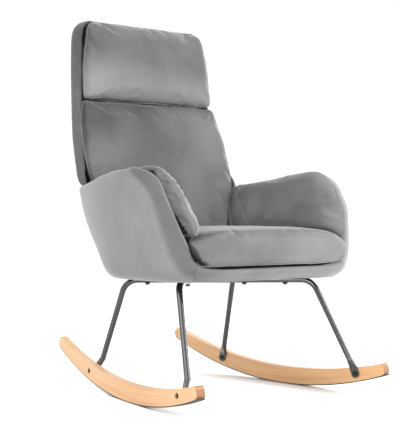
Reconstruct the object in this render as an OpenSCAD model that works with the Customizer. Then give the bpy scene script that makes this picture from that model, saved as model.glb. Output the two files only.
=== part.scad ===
// Rocking chair: upholstered bucket seat on a crossed tubular frame with
// bent beech rockers. Millimetres. Front of the chair towards -Y, +Z up,
// symmetric about X = 0. Floor contact of the rockers lies at Z = 0.

/* [Overall] */
// Distance from the frame's crossing line back to the model origin
origin_y = 63.3; // [40:1:90]
// Position of the floor contact line behind the frame's crossing line
contact_y = 15; // [0:1:20]
// Height of the seat rim's lower edge above the floor
rim_z = 317; // [312:1:320]
// Top of the upholstered back above the floor
back_top = 1042; // [1030:1:1050]

/* [Rockers] */
// Radius of the rocking curve
rocker_r = 1115; // [1080:5:1200]
// Radius of the upper edge, flatter so that the ends taper
rocker_top_r = 1390; // [1350:10:1450]
// Height of the beech section at the middle
rocker_h = 46; // [44:1:48]
// Thickness of the beech section
rocker_t = 23; // [19:0.5:25]
// Half distance between the inner faces at the contact line
rocker_x = 254.6; // [250:0.2:260]
// Toe-out of each rocker towards the front, degrees
rocker_toe = 7; // [6:0.5:8]
// Length along the rocker in front of the contact line
rocker_front = 346; // [330:1:360]
// Length along the rocker behind the contact line
rocker_rear = 474; // [460:1:490]
// Thickness of the grip strip under each rocker
grip_t = 3; // [2:0.5:4]
// Corner radius of the rocker ends
rocker_end_r = 11; // [8:1:13]

/* [Leg frame] */
// Outer diameter of the leg tube
tube_d = 16; // [14:0.5:18]
// Wall of the leg tube
tube_wall = 1.5; // [1.2:0.1:2]
// Centre-line radius of the tube bends
bend_r = 44; // [36:1:52]
// Height of the lower hoop's bar, centre line
bar_z = 305.5; // [303:0.5:306]
// Height step between the two crossing hoops
bar_step = 8; // [8:1:8]
// Thickness of the flattened foot
foot_t = 5; // [4:0.5:6]
// Width of the flattened foot
foot_w = 24; // [20:1:26]

/* [Fasteners] */
// Thread size of the rocker and seat bolts
bolt_d = 6; // [5:0.5:6]
// Bolt head diameter
head_d = 11; // [10:0.5:12]
// Bolt head height
head_h = 3.5; // [3:0.5:4.5]
// Clearance hole diameter in the feet and the bars
hole_d = 6.6; // [6.4:0.1:7]
// Counterbore diameter for the sleeve nuts in the rockers
cbore_d = 12; // [11:0.5:13]

/* [Seat body] */
// Thickness of the seat board
board_t = 15; // [12:1:15]
// Thickness of the arm and back boards
ply_t = 12; // [10:1:12]
// Half width of the seat board
board_hw = 236; // [230:1:238]
// Widest half width of the outer shell
shell_hw = 323; // [316:1:326]

/* [Cushions] */
// Half width of the seat cushion at the front
seat_hw = 273; // [266:1:275]
// Highest point of the seat cushion
seat_top = 447; // [440:1:452]
// Half width of the headrest pad at its foot
head_hw = 222; // [216:1:224]
// Height of the seam between the headrest and the back pad
head_seam = 815; // [805:1:820]

/* [Back] */
// Thickness of the back cover with its wadding
back_wall = 5.5; // [4:0.5:8]
// Thickness of the plywood back frame
back_ply_t = 9; // [9:1:12]
// Thickness of the filling of the back and headrest pads
pad_wall = 13; // [10:1:20]

/* [Hidden] */

beech = [0.90, 0.74, 0.54];
steel_black = [0.12, 0.12, 0.13];
velvet = [0.47, 0.47, 0.47];
ply = [0.80, 0.66, 0.47];

cover_z = bar_z + bar_step + tube_d/2;   // underside of the dust cover
cover_t = 1;
board_z = cover_z + cover_t;             // underside of the seat board
deck_z = board_z + board_t;              // top of the seat board
eps = 0.3;                               // gap between soft pieces

// ---------------------------------------------------------------- helpers
// Smooth curve through a table of [key, value] rows.
function seg(t, k, i = 0) = i >= len(t) - 2 || k < t[i + 1][0] ? i : seg(t, k, i + 1);
function slope(t, i) = i <= 0 ? (t[1][1] - t[0][1])/(t[1][0] - t[0][0])
  : i >= len(t) - 1 ? (t[len(t)-1][1] - t[len(t)-2][1])/(t[len(t)-1][0] - t[len(t)-2][0])
  : (t[i + 1][1] - t[i - 1][1])/(t[i + 1][0] - t[i - 1][0]);
function curve(t, k0) =
  let (k = min(max(k0, t[0][0]), t[len(t)-1][0]), i = seg(t, k),
       h = t[i + 1][0] - t[i][0], u = (k - t[i][0])/h,
       a = t[i][1], b = t[i + 1][1], m = slope(t, i)*h, n = slope(t, i + 1)*h)
  (2*pow(u,3) - 3*u*u + 1)*a + (pow(u,3) - 2*u*u + u)*m
  + (3*u*u - 2*pow(u,3))*b + (pow(u,3) - u*u)*n;
function sgn(v) = v < 0 ? -1 : 1;
function mirrored(p) = [-p[0], p[1], p[2]];

// Closed solid through rings of equal length; each ring is flat.
module loft(rings, flip = true) {
  n = len(rings[0]);
  m = len(rings);
  quads = [for (j = [0:m-2], i = [0:n-1])
    [j*n + i, j*n + (i+1)%n, (j+1)*n + (i+1)%n, (j+1)*n + i]];
  tris = [for (q = quads) each [[q[0], q[1], q[2]], [q[0], q[2], q[3]]]];
  // end caps, stitched across from the first point to the last
  zip = [for (i = [0:floor(n/2)-2]) each [[i, n-2-i, i+1], [i, n-1-i, n-2-i]]];
  odd = n%2 == 0 ? [] : [let (i = floor(n/2)-1) [i, i+2, i+1]];
  cap = concat(zip, odd);
  caps = concat(cap, [for (c = cap) [for (i = [2:-1:0]) (m-1)*n + c[i]]]);
  f = concat(tris, caps);
  polyhedron([for (r = rings) each r],
    flip ? [for (a = f) [for (i = [len(a)-1:-1:0]) a[i]]] : f, convexity = 6);
}

// Moves a piece built along +Z onto the line from a to b.
module along(a, b) {
  d = b - a;
  l = norm(d);
  translate(a) rotate([0, acos(d[2]/l), atan2(d[1], d[0])]) children();
}

module place() { translate([0, -origin_y, 0]) children(); }
module both_sides() { children(); mirror([1, 0, 0]) children(); }

// ------------------------------------------------------------ rocker plane
// Local frame of the right rocker: x = thickness outwards from the inner
// face, y = along the rocker (rear positive), z = up.
module rocker_frame() {
  translate([rocker_x, 0, 0]) rotate([0, 0, rocker_toe]) children();
}
function rocker_pt(x, s, z) = [rocker_x + x*cos(rocker_toe) - s*sin(rocker_toe),
                               x*sin(rocker_toe) + s*cos(rocker_toe), z];
front_bolt = [-250, 56];   // [along, height]
rear_bolt = [253, 51];
function bottom_z(s) = rocker_r - sqrt(rocker_r*rocker_r - pow(s - contact_y, 2));
function top_z(s) = rocker_top_r - sqrt(rocker_top_r*rocker_top_r - pow(s - 4, 2))
  + rocker_h + grip_t;

// Side view of the rocker: above the rocking arc raised by lift, below the
// flatter upper arc.
module between_arcs(lift, s0, s1) {
  intersection() {
    translate([contact_y, rocker_r]) circle(r = rocker_r - lift, $fn = 360);
    translate([s0, -10]) square([s1 - s0, 260]);
  }
}
module rocker_side(s0, s1) {
  difference() {
    between_arcs(grip_t, s0, s1);
    translate([4, rocker_top_r + rocker_h + grip_t])
      circle(r = rocker_top_r, $fn = 360);
  }
}
// Nose of the rocker: two corner rounds and the flat between them.
module end_round(s, dir) {
  e = rocker_end_r;
  tilt = atan((bottom_z(s) - bottom_z(s - 1) + top_z(s) - top_z(s - 1))/2);
  zb = bottom_z(s) + grip_t*1.02;
  h = (top_z(s) - zb)*cos(tilt);
  translate([s, zb]) rotate(tilt) {
    translate([-dir*e, e]) circle(r = e, $fn = 48);
    translate([-dir*e, h - e - 0.3]) circle(r = e, $fn = 48);
    translate([dir > 0 ? -e : 0, e]) square([e, h - 2*e - 0.3]);
  }
}
module rocker_profile() {
  ea = rocker_end_r;
  rocker_side(-rocker_front + ea, rocker_rear - ea - 4);
  end_round(-rocker_front, -1);
  end_round(rocker_rear - 2, 1);
}
module rocker() {
  color(beech) rocker_frame() difference() {
    rotate([90, 0, 90]) linear_extrude(rocker_t) rocker_profile();
    for (b = [front_bolt, rear_bolt]) translate([0, b[0], b[1]]) rotate([0, 90, 0]) {
      translate([0, 0, -1]) cylinder(d = 8.2, h = rocker_t + 2, $fn = 48);
      translate([0, 0, rocker_t - 5]) cylinder(d = cbore_d, h = 6, $fn = 48);
    }
  }
}
module grip_strip() {
  color([0.23, 0.20, 0.18]) rocker_frame()
    rotate([90, 0, 90]) translate([0, 0, 0.5]) linear_extrude(rocker_t - 1)
      difference() {
        between_arcs(0, -rocker_front + 2, rocker_rear - 10);
        translate([contact_y, rocker_r]) circle(r = rocker_r - grip_t, $fn = 360);
      }
}
module rocker_left() { place() mirror([1, 0, 0]) rocker(); }
module rocker_right() { place() rocker(); }
module grip_strip_left() { place() mirror([1, 0, 0]) grip_strip(); }
module grip_strip_right() { place() grip_strip(); }

// --------------------------------------------------------------- leg hoops
// Corner points of the bars (centre line) and upper ends of the feet.
function top_front(z) = [226, -139, z];
function top_rear(z) = [189, 155, z];
// The leg's centre line ends 34 mm above the bolt, one radius off the rocker.
function neck(b) = rocker_pt(-12, b[0] + (b[0] < 0 ? 11 : -17), b[1] + 36);
function sx(p, s) = [s*p[0], p[1], p[2]];

// Elbow between two straight legs meeting at c, unit directions u and v
// pointing away from c.
function unit(v) = v/norm(v);
function half_turn(u, v) = acos(u*v)/2;
function tangent_len(u, v, r) = r/tan(half_turn(u, v));
module elbow(c, u, v, r, d) {
  h = half_turn(u, v);
  w = unit(u + v);
  o = c + w*(r/sin(h));            // centre of the bend
  n = unit(cross(u, v));
  turn = 180 - 2*h;
  e = unit(c + u*tangent_len(u, v, r) - o);
  f = cross(n, e);
  // local x -> e, local z -> n
  multmatrix([[e[0], f[0], n[0], o[0]], [e[1], f[1], n[1], o[1]],
              [e[2], f[2], n[2], o[2]], [0, 0, 0, 1]])
    rotate([0, 0, (c + v*tangent_len(u, v, r) - o)*f > 0 ? 0 : -turn])
      rotate_extrude(angle = turn, $fn = 72) translate([r, 0]) difference() {
        circle(d = d + 0.2, $fn = 48);
        circle(d = d - 2*tube_wall - 0.2, $fn = 48);
      }
}
module rod(a, b, d) { along(a, b) cylinder(d = d, h = norm(b - a), $fn = 48); }
// Straight tube, its ends reaching ea and eb into what it is fused with; the
// bends are 0.1 mm thicker all round so that they take the ends in.
module tube(a, b, d, ea, eb) {
  u = unit(b - a);
  along(a - u*ea, b + u*eb) difference() {
    cylinder(d = d, h = norm(b - a) + ea + eb, $fn = 48);
    translate([0, 0, -1])
      cylinder(d = d - 2*tube_wall, h = norm(b - a) + ea + eb + 2, $fn = 48);
  }
}
// Bar with two legs: a foot end, a corner, b corner, b foot end.
module hoop_path(p0, c0, c1, p1, d) {
  u0 = unit(p0 - c0); v0 = unit(c1 - c0);
  u1 = unit(p1 - c1); v1 = unit(c0 - c1);
  t0 = tangent_len(u0, v0, bend_r);
  t1 = tangent_len(u1, v1, bend_r);
  tube(p0, c0 + u0*t0, d, 0.4, 1.4);
  elbow(c0, u0, v0, bend_r, d);
  tube(c0 + v0*t0, c1 + v1*t1, d, 1.4, 1.4);
  elbow(c1, u1, v1, bend_r, d);
  tube(p1, c1 + u1*t1, d, 0.4, 1.4);
}
module at_side(s) { if (s < 0) mirror([1, 0, 0]) children(); else children(); }
// Flattened foot on the inner face of the right rocker around bolt b.
module foot(b, lean) {
  rocker_frame() translate([-foot_t, b[0], b[1]]) rotate([lean, 0, 0])
    rotate([0, 90, 0]) {
      cylinder(d = foot_w, h = foot_t, $fn = 64);
      translate([-15, -foot_w/2 + 0.5, 0]) cube([15, foot_w - 1, foot_t]);
    }
}
module neck_blend(b, lean, z) {
  p = neck(b);
  c = b[0] < 0 ? top_front(z) : top_rear(z);
  hull() {
    rocker_frame() translate([-foot_t + 0.1, b[0], b[1]]) rotate([lean, 0, 0])
      rotate([0, 90, 0]) translate([-16, -foot_w/2 + 0.8, 0])
        cube([2, foot_w - 1.6, foot_t - 0.2]);
    along(p, c) translate([0, 0, -1]) cylinder(d = tube_d + 0.8, h = 1, $fn = 32);
  }
}
module foot_hole(b) {
  rocker_frame() translate([-foot_t - 1, b[0], b[1]]) rotate([0, 90, 0])
    cylinder(d = hole_d, h = foot_t + 2, $fn = 48);
}
function bar_pt(s, z, k) = let (a = sx(top_front(z), s), b = sx(top_rear(z), -s))
  a + (b - a)*k;
front_lean = -23;
rear_lean = 19;
// s = -1: front leg at the left, rear leg at the right; s = 1: the reverse.
module hoop(s, z) {
  color(steel_black) difference() {
    union() {
      hoop_path(sx(neck(front_bolt), s), sx(top_front(z), s),
                sx(top_rear(z), -s), sx(neck(rear_bolt), -s), tube_d);
      at_side(s) { foot(front_bolt, front_lean); neck_blend(front_bolt, front_lean, z); }
      at_side(-s) { foot(rear_bolt, rear_lean); neck_blend(rear_bolt, rear_lean, z); }
    }
    at_side(s) foot_hole(front_bolt);
    at_side(-s) foot_hole(rear_bolt);
    for (k = s > 0 ? lower_bolts : upper_bolts)
      translate(bar_pt(s, z - tube_d, k)) cylinder(d = hole_d, h = 2*tube_d, $fn = 48);
  }
}
// Positions of the seat bolts along each bar, 0 = front corner.
lower_bolts = [0.145, 0.365, 0.885];
upper_bolts = [0.145, 0.885];

module leg_hoop_upper() {
  z = bar_z + bar_step;
  place() color(steel_black) difference() {
    hoop(-1, z);
    // coped over the lower bar at the crossing, where the two are welded
    rod(bar_pt(1, bar_z, 0.3), bar_pt(1, bar_z, 0.7), tube_d);
  }
}
module leg_hoop_lower() { place() hoop(1, bar_z); }

// -------------------------------------------------------------- fasteners
module cap_screw(d, l, hd, hh) {
  translate([0, 0, -hh]) difference() {
    union() {
      cylinder(d = hd, h = hh, $fn = 48);
      translate([0, 0, hh]) cylinder(d = d, h = l, $fn = 48);
    }
    translate([0, 0, -1]) cylinder(d = 4.6, h = 3, $fn = 6);
  }
}
// Screw axis: from the inside of the rocker outwards, head inside.
module rocker_bolt_at(b) {
  rocker_frame() translate([-foot_t, b[0], b[1]]) rotate([0, 90, 0]) children();
}
module rocker_bolts() {
  color(steel_black) place() both_sides() for (b = [front_bolt, rear_bolt])
    rocker_bolt_at(b) translate([0, 0, -1.2]) cap_screw(bolt_d, 20, head_d, head_h);
}
module rocker_washers() {
  color(steel_black) place() both_sides() for (b = [front_bolt, rear_bolt])
    rocker_bolt_at(b) translate([0, 0, -1.2]) difference() {
      cylinder(d = 15, h = 1.2, $fn = 48);
      translate([0, 0, -1]) cylinder(d = 6.4, h = 4, $fn = 48);
    }
}
module rocker_sleeve_nuts() {
  color(steel_black) place() both_sides() for (b = [front_bolt, rear_bolt])
    rocker_bolt_at(b) translate([0, 0, foot_t]) difference() {
      union() {
        translate([0, 0, 4]) cylinder(d = 8, h = rocker_t - 9, $fn = 48);
        translate([0, 0, rocker_t - 5]) cylinder(d = cbore_d - 0.6, h = 2.2, $fn = 48);
      }
      translate([0, 0, 3]) cylinder(d = bolt_d, h = rocker_t - 7.5, $fn = 48);
      translate([0, 0, rocker_t - 4.3]) cylinder(d = 5.8, h = 3, $fn = 6);
    }
}
module each_seat_bolt() {
  for (k = lower_bolts) translate(bar_pt(1, bar_z - tube_d/2, k)) children();
  for (k = upper_bolts) translate(bar_pt(-1, bar_z + bar_step - tube_d/2, k)) children();
}
module seat_bolts() {
  color(steel_black) place() {
    for (k = lower_bolts) translate(bar_pt(1, bar_z - tube_d/2 - 1.2, k))
      cap_screw(bolt_d, 40, head_d, head_h);
    for (k = upper_bolts) translate(bar_pt(-1, bar_z + bar_step - tube_d/2 - 1.2, k))
      cap_screw(bolt_d, 32, head_d, head_h);
  }
}
module seat_bolt_washers() {
  color(steel_black) place() each_seat_bolt() translate([0, 0, -1.2]) difference() {
    cylinder(d = 14, h = 1.2, $fn = 48);
    translate([0, 0, -1]) cylinder(d = 6.4, h = 4, $fn = 48);
  }
}
// Spacers carry the lower bar the height of the step below the seat board.
module bar_spacers() {
  dir = unit(top_front(0) - sx(top_rear(0), -1));
  color([0.08, 0.08, 0.08]) place() for (k = lower_bolts)
    difference() {
      translate(bar_pt(1, bar_z + 3, k)) cylinder(d = 22, h = cover_z - bar_z - 3, $fn = 48);
      rod(bar_pt(1, bar_z, k - 0.08), bar_pt(1, bar_z, k + 0.08), tube_d);
      translate(bar_pt(1, bar_z, k)) cylinder(d = hole_d, h = 40, $fn = 48);
    }
}
module tee_nuts() {
  color([0.75, 0.75, 0.72]) place() {
    for (p = concat([for (k = lower_bolts) bar_pt(1, deck_z - 11, k)],
                    [for (k = upper_bolts) bar_pt(-1, deck_z - 11, k)]))
      translate(p) difference() {
        union() {
          cylinder(d = 8, h = 11, $fn = 48);
          translate([0, 0, 11]) cylinder(d = 19, h = 1.4, $fn = 48);
        }
        translate([0, 0, -1]) cylinder(d = bolt_d, h = 20, $fn = 48);
      }
  }
}

// ------------------------------------------------------- outer shell shape
// Plan of the shell at height z: half width, front and rear reach from
// Y = 0, and how square the front corners are.
function hw(z) = shell_hw - 320 + curve([[317, 268], [326, 281], [340, 291], [355, 297],
  [400, 308], [450, 316], [510, 320], [590, 315], [620, 300]], z);
function front_y(z) = curve([[317, 222], [335, 243], [355, 255], [400, 263],
  [440, 258], [490, 244], [540, 229], [620, 212]], z);
function rear_y(z) = curve([[317, 169], [335, 176], [400, 209], [480, 268],
  [560, 309], [620, 330]], z);
function front_n(z) = curve([[317, 7.5], [355, 6.2], [415, 5.3], [460, 5.5], [505, 6.1],
  [546, 5.4], [600, 4.2]], z);
// Point on the shell at height z and plan angle f (0 = right side,
// 90 = rear, -90 = front), set inwards by t.
function ring(z, f, t = 0) =
  let (a = hw(z) - t, b = (f < 0 ? front_y(z) : rear_y(z)) - t,
       e = 2/(f < 0 ? front_n(z) : 4))
  [a*sgn(cos(f))*pow(abs(cos(f)), e), b*sgn(sin(f))*pow(abs(sin(f)), e), z];
// Upper edge of the shell against the plan angle, the same on both sides of
// the front. The padded rim rises above it as a roll.
arm_edge = [[-90, 341], [-80, 341], [-72, 343], [-65, 346], [-59, 351], [-52.7, 360],
  [-48, 373], [-44.6, 392], [-42.5, 412], [-38, 450], [-33, 491], [-27.9, 537], [-24, 561],
  [-16.8, 581], [-10, 590], [-4.4, 597], [-0.5, 592], [2, 582], [9, 564], [17.6, 555],
  [26, 551], [40, 548], [62, 545]];
function edge_z(f) = curve(arm_edge, f < -90 ? -180 - f : f);
// Padded wall of the shell, thinner towards the rear and under the rim.
function ramp(a, b, v) = let (u = min(max((v - a)/(b - a), 0), 1)) u*u*(3 - 2*u);
function wall(z) = curve([[317, 14], [338, 20], [370, 28], [400, 33], [450, 36], [520, 35],
  [560, 27], [590, 16], [605, 11]], z);
function wall_at(z, f) = wall(z)*(1 - 0.6*ramp(28, 56, f));
function rim_ring(f, n = 9) =
  let (zt = edge_z(f), w = wall_at(zt, f), d = 0.4,
       p = ring(edge_z(f - d), f - d), q = ring(edge_z(f + d), f + d),
       run = norm([q[0] - p[0], q[1] - p[1]]), slant = atan2(q[2] - p[2], run),
       h = 0.42*w, per_degree = run/(2*d))
  concat([for (i = [0:n]) ring(rim_z + (zt - rim_z)*i/n, f)],
         [for (a = [30:30:150]) ring(zt + h*sin(a)*cos(slant), f - h*sin(a)*sin(slant)/per_degree,
                                     w/2*(1 - cos(a)))],
         [for (i = [n:-1:0]) let (z = rim_z + (zt - rim_z)*i/n) ring(z, f, wall_at(z, f))]);

arm_f = [63, 60, 54, 48, 42, 36, 30, 24, 19, 15, 12, 9, 7, 5, 3, 1.5, 0, -1.5, -3, -5, -7, -10, -13,
  -16, -19, -22, -24.5, -27, -29.5, -32, -34.5, -37, -39, -41, -43, -45, -47, -49, -51, -53,
  -55, -56.8];
module arm_shell() { loft([for (f = arm_f) rim_ring(f)]); }
module arm_shell_right() { color(velvet) place() arm_shell(); }
module arm_shell_left() { color(velvet) place() mirror([1, 0, 0]) arm_shell(); }

border_half = [-57.2, -58.5, -60, -62, -64, -67, -70, -74, -78, -84];
border_f = concat(border_half, [-90], [for (i = [len(border_half)-1:-1:0]) -180 - border_half[i]]);
module front_border() { color(velvet) place() loft([for (f = border_f) rim_ring(f, 3)]); }

// Back shell. Below the arm edge it closes the rear between the arm
// coverings; above it carries the pads.
function back_hw(z) = curve([[317, 152], [323, 155], [330, 186], [345, 199], [400, 208], [480, 215],
  [545, 238], [575, 272],
  [622, 264], [694, 248], [781, 236], [897, 230], [985, 227], [1016, 221], [1034, 206], [1042, 190]], z);
function back_rear(z) = curve([[317, 158], [335, 163], [400, 197], [480, 252], [560, 292],
  [622, 328], [694, 368], [781, 395], [897, 411], [985, 416], [1016, 413], [1034, 403], [1042, 390]], z);
function back_rim(z) = curve([[317, 128], [400, 160], [480, 203], [545, 232], [575, 240],
  [622, 268], [694, 306], [781, 331], [897, 341], [985, 347], [1016, 352], [1034, 357], [1042, 362]], z);
function back_section(z) =
  let (a = back_hw(z), yr = back_rear(z), yf = back_rim(z), w = back_wall,
       d = z < 1035 ? w : yr - yf - 1,   // the top is closed
       e = 2/5, n = 9)
  concat([for (i = [0:n]) let (f = 180*i/n)
           [a*sgn(cos(f))*pow(abs(cos(f)), e), yf + (yr - yf)*pow(abs(sin(f)), e), z]],
         [for (i = [n:-1:0]) let (f = 180*i/n)
           [(a - w)*sgn(cos(f))*pow(abs(cos(f)), e), yf + (yr - d - yf)*pow(abs(sin(f)), e), z]]);
back_levels = [317, 323, 326, 330, 337, 345, 360, 400, 440, 480, 520, 548, 562, 575, 600, 622, 660, 694, 740,
  781, 840, 897, 945, 985, 1005, 1016, 1026, 1034, 1036, 1042];
module back_shell() { color(velvet) place() loft([for (z = back_levels) back_section(z)]); }

// ------------------------------------------------------------ inner frame
module seat_board() {
  color(ply) place() translate([0, 0, board_z]) difference() {
    linear_extrude(board_t) polygon([[-board_hw + 34, -188], [board_hw - 34, -188],
      [board_hw - 6, -160], [board_hw, -120], [board_hw, 40], [board_hw - 30, 100],
      [board_hw - 80, 138], [-board_hw + 80, 138], [-board_hw + 30, 100], [-board_hw, 40],
      [-board_hw, -120], [-board_hw + 6, -160]]);
    for (p = concat([for (k = lower_bolts) bar_pt(1, 0, k)], [for (k = upper_bolts) bar_pt(-1, 0, k)]))
      translate([p[0], p[1], -1]) cylinder(d = 8, h = board_t + 2, $fn = 48);
  }
}
module dust_cover() {
  color([0.05, 0.05, 0.05]) place() translate([0, 0, cover_z]) difference() {
    linear_extrude(cover_t) polygon(concat(
      [for (i = [0:26]) let (p = ring(cover_z, -90 + 5*i, wall(cover_z) + 2)) [p[0], min(p[1], 126)]],
      [for (i = [26:-1:0]) let (p = ring(cover_z, -90 + 5*i, wall(cover_z) + 2)) if (p[0] > 0.01) [-p[0], min(p[1], 126)]]));
    for (p = concat([for (k = lower_bolts) bar_pt(1, 0, k)], [for (k = upper_bolts) bar_pt(-1, 0, k)]))
      translate([p[0], p[1], -1]) cylinder(d = 8, h = 4, $fn = 48);
  }
}
module deck_foam() {
  color([0.85, 0.80, 0.60]) place() translate([0, 0, deck_z]) difference() {
    linear_extrude(352 - deck_z) polygon([[-190, -200], [190, -200], [222, -165],
      [222, 30], [196, 90], [150, 128], [-150, 128], [-196, 90], [-222, 30], [-222, -165]]);
    for (p = concat([for (k = lower_bolts) bar_pt(1, 0, k)], [for (k = upper_bolts) bar_pt(-1, 0, k)]))
      translate([p[0], p[1], -1]) cylinder(d = 22, h = 30, $fn = 48);
    both_sides() for (y = [-105, 25]) translate([199, y - 13, -1]) cube([30, 26, 30]);
    both_sides() translate([75, 98, -1]) cube([26, 40, 30]);
  }
}
// The arm board stands on the edge of the seat board and leans outwards.
arm_lean = 9;
module arm_board_frame() {
  translate([223, 0, deck_z]) rotate([0, arm_lean, 0]) children();
}
module arm_board() {
  color(ply) arm_board_frame() difference() {
    rotate([90, 0, 90]) linear_extrude(ply_t) polygon([[-130, 0.9], [48, 0.9], [118, 70],
      [168, 140], [186, 205], [150, 212], [60, 226], [-20, 240], [-72, 238], [-100, 218],
      [-120, 180], [-140, 110], [-150, 40]]);
    // fitting holes of the brackets
    for (y = [-92, 38]) translate([-1, y, 22]) rotate([0, 90, 0])
      cylinder(d = 4.5, h = ply_t + 2, $fn = 24);
  }
}
module arm_board_right() { place() arm_board(); }
module arm_board_left() { place() mirror([1, 0, 0]) arm_board(); }
// Moulded plywood back, bent in side view only.
function back_line(z) = curve([[339, 118], [400, 160], [480, 207], [560, 248], [622, 281],
  [694, 318], [781, 343], [897, 357], [1000, 364]], z);
back_board_z = [for (i = [0:22]) 339.2 + (1000 - 339.2)*i/22];
module back_board() {
  color(ply) place() intersection() {
    rotate([90, 0, 90]) translate([0, 0, -260]) linear_extrude(520) polygon(
      concat([for (z = back_board_z) [back_line(z), z]],
             [for (i = [22:-1:0]) let (z = back_board_z[i]) [back_line(z) + back_ply_t, z]]));
    rotate([90, 0, 0]) translate([0, 0, -500]) linear_extrude(800) difference() {
      polygon([[-125, 330], [125, 330], [150, 400], [190, 480], [226, 560], [246, 612],
        [242, 680], [232, 745], [222, 800], [218, 900], [206, 972], [184, 1001],
        [-184, 1001], [-206, 972], [-218, 900], [-222, 800], [-232, 745], [-242, 680],
        [-246, 612], [-226, 560], [-190, 480], [-150, 400]]);
      // windows spanned by webbing behind the two pads
      polygon([[-110, 410], [110, 410], [150, 480], [186, 560], [202, 620], [196, 700],
        [182, 775], [-182, 775], [-196, 700], [-202, 620], [-186, 560], [-150, 480]]);
      polygon([[-178, 850], [178, 850], [168, 950], [-168, 950]]);
    }
  }
}
// Bands across the windows, stapled to the front of the back frame.
web_z = [[455, 150], [520, 180], [585, 206], [650, 212], [715, 202], [885, 192], [925, 186]];
module back_webbing() {
  color([0.12, 0.12, 0.12]) place() for (w = web_z) {
    m = (back_line(w[0] + 20) - back_line(w[0] - 20))/40;
    translate([0, back_line(w[0]) - 1.3, w[0]]) rotate([-atan(m), 0, 0])
      translate([-w[1], -0.6, -20]) cube([2*w[1], 1.2, 40]);
  }
}
// Rail that backs the front border.
module front_rail() {
  color(ply) place() rotate([90, 0, 90]) translate([0, 0, -172]) linear_extrude(344)
    polygon([[-200.5, 323], [-206, 323], [-219, 336], [-225, 349], [-200.5, 349]]);
}
// Steel angles: two under each arm board, two under the back board.
module angle_piece(len2) {
  t = 2;
  difference() {
    union() {
      translate([0, -10, 0]) cube([26, 20, t]);
      translate([0, -10, 0]) cube([t, 20, len2]);
    }
    translate([16, 0, -1]) cylinder(d = 4.5, h = 5, $fn = 24);
  }
}
module frame_brackets() {
  color([0.7, 0.7, 0.72]) place() {
    both_sides() for (y = [-92, 38]) {
      difference() {
        union() {
          translate([197, y - 10, deck_z]) cube([25, 20, 2]);
          arm_board_frame() translate([-2, y - 10, 2.2]) cube([2, 20, 32]);
          translate([220, y - 10, deck_z]) cube([2.6, 20, 3]);
        }
        translate([206, y, deck_z - 1]) cylinder(d = 4.5, h = 5, $fn = 24);
        arm_board_frame() translate([-4, y, 22]) rotate([0, 90, 0]) cylinder(d = 4.5, h = 6, $fn = 24);
      }
    }
    both_sides() difference() {
      union() {
        translate([78, 100.5, deck_z]) cube([20, 17, 2]);
        translate([78, 115.3, deck_z]) cube([20, 2.2, 4]);
      }
      translate([88, 108, deck_z - 1]) cylinder(d = 4.5, h = 5, $fn = 24);
    }
  }
}
module wood_screw(l) {
  cylinder(d = 4, h = l, $fn = 24);
  translate([0, 0, -2]) cylinder(d = 8, h = 2, $fn = 32);
}
module bracket_screws() {
  color([0.8, 0.78, 0.6]) place() both_sides() {
    for (y = [-92, 38]) {
      translate([206, y, deck_z + 2]) mirror([0, 0, 1]) wood_screw(13);
      arm_board_frame() translate([-2, y, 22]) rotate([0, 90, 0]) wood_screw(13);
    }
    translate([88, 108, deck_z + 2]) mirror([0, 0, 1]) wood_screw(13);
  }
}

// ------------------------------------------------------------ soft pieces
// Arm pad: pillow slices across X-Z from the back pad to its nose. pad_edge is
// its outline in side view, pad_in the face towards the seat.
function pad_edge(y) = curve([[-240, 444], [-235, 458], [-226, 484], [-210, 515], [-190, 547],
  [-165, 577], [-133, 598], [-98, 605], [-46, 604], [0, 600], [84, 590], [160, 581], [226, 575]], y);
function pad_in(y) = curve([[-240, 234], [-228, 221], [-203, 210], [-150, 204], [60, 203],
  [140, 201], [215, 199]], y);
pad_low = 428;
function pad_foot(y) = curve([[-240, 441], [-228, 438], [-205, 440], [-150, 440], [-60, 437],
  [60, 431], [140, pad_low], [184, 444], [226, 506]], y);
// The outer side hangs lower, beside the cushion.
function pad_sag(x, u) = 16*ramp(222, 256, x)*pow(1 - u, 2);
// Inside of the shell at height z, and the inner edge of its rim, which limits
// whatever stands in front of the rim.
function shell_in(y, z, gap) =
  let (t = wall(z) + gap, a = hw(z) - t, b = (y < 0 ? front_y(z) : rear_y(z)) - t,
       n = y < 0 ? front_n(z) : 4)
  a*pow(max(1 - pow(min(abs(y)/b, 0.999), n), 0), 1/n);
function rim_y(z) = curve([[355, -222], [367, -212], [388, -204], [400, -201], [421, -194], [458, -176],
  [499, -154], [544, -135], [568, -125], [590, -106]], z);
function round_end(d, r) = let (q = 1 - min(max(d/r, 0), 1)) sqrt(max(1 - q*q, 0));
pad_line = [for (y = [-240:3:226]) [y, pad_edge(y)]];
function pad_slice(y, n = 14) =
  let (z0 = pad_foot(y), zt = max(pad_edge(y), z0 + 4), h = zt - z0, k = h/175,
       cols = [for (i = [0:n]) let (u = (1 - cos(180*i/n))/2, z = z0 + h*u, q = (z - z0)/max(h, 60), yr = rim_y(z),
         xi = pad_in(y) + max(0, z0 - pad_low)*0.32 + k*62*pow(q, 1.7),
         xo = max(min(shell_in(max(y, yr), z, 2.5), 330) - max(yr - y, 0)*0.04, xi + 10),
         mid = (xi + xo)/2, half = (xo - xi)/2,
         d = i == n ? 0 : min([for (p = pad_line) norm([p[0] - y, p[1] - z])]),
         prof = round_end(d, max(1.05*half, 20))*round_end(z - z0 + 0.2, 13)
                *(0.25 + 0.75*round_end(226.2 - y, 12)))
         [mid, max(half*prof, 0.3), z, u]])
  concat([for (c = cols) let (x = c[0] - c[1]) [x, y, c[2] - pad_sag(x, c[3])]],
         [for (i = [n:-1:0]) let (c = cols[i], x = c[0] + c[1]) [x, y, c[2] - pad_sag(x, c[3])]]);
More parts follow.
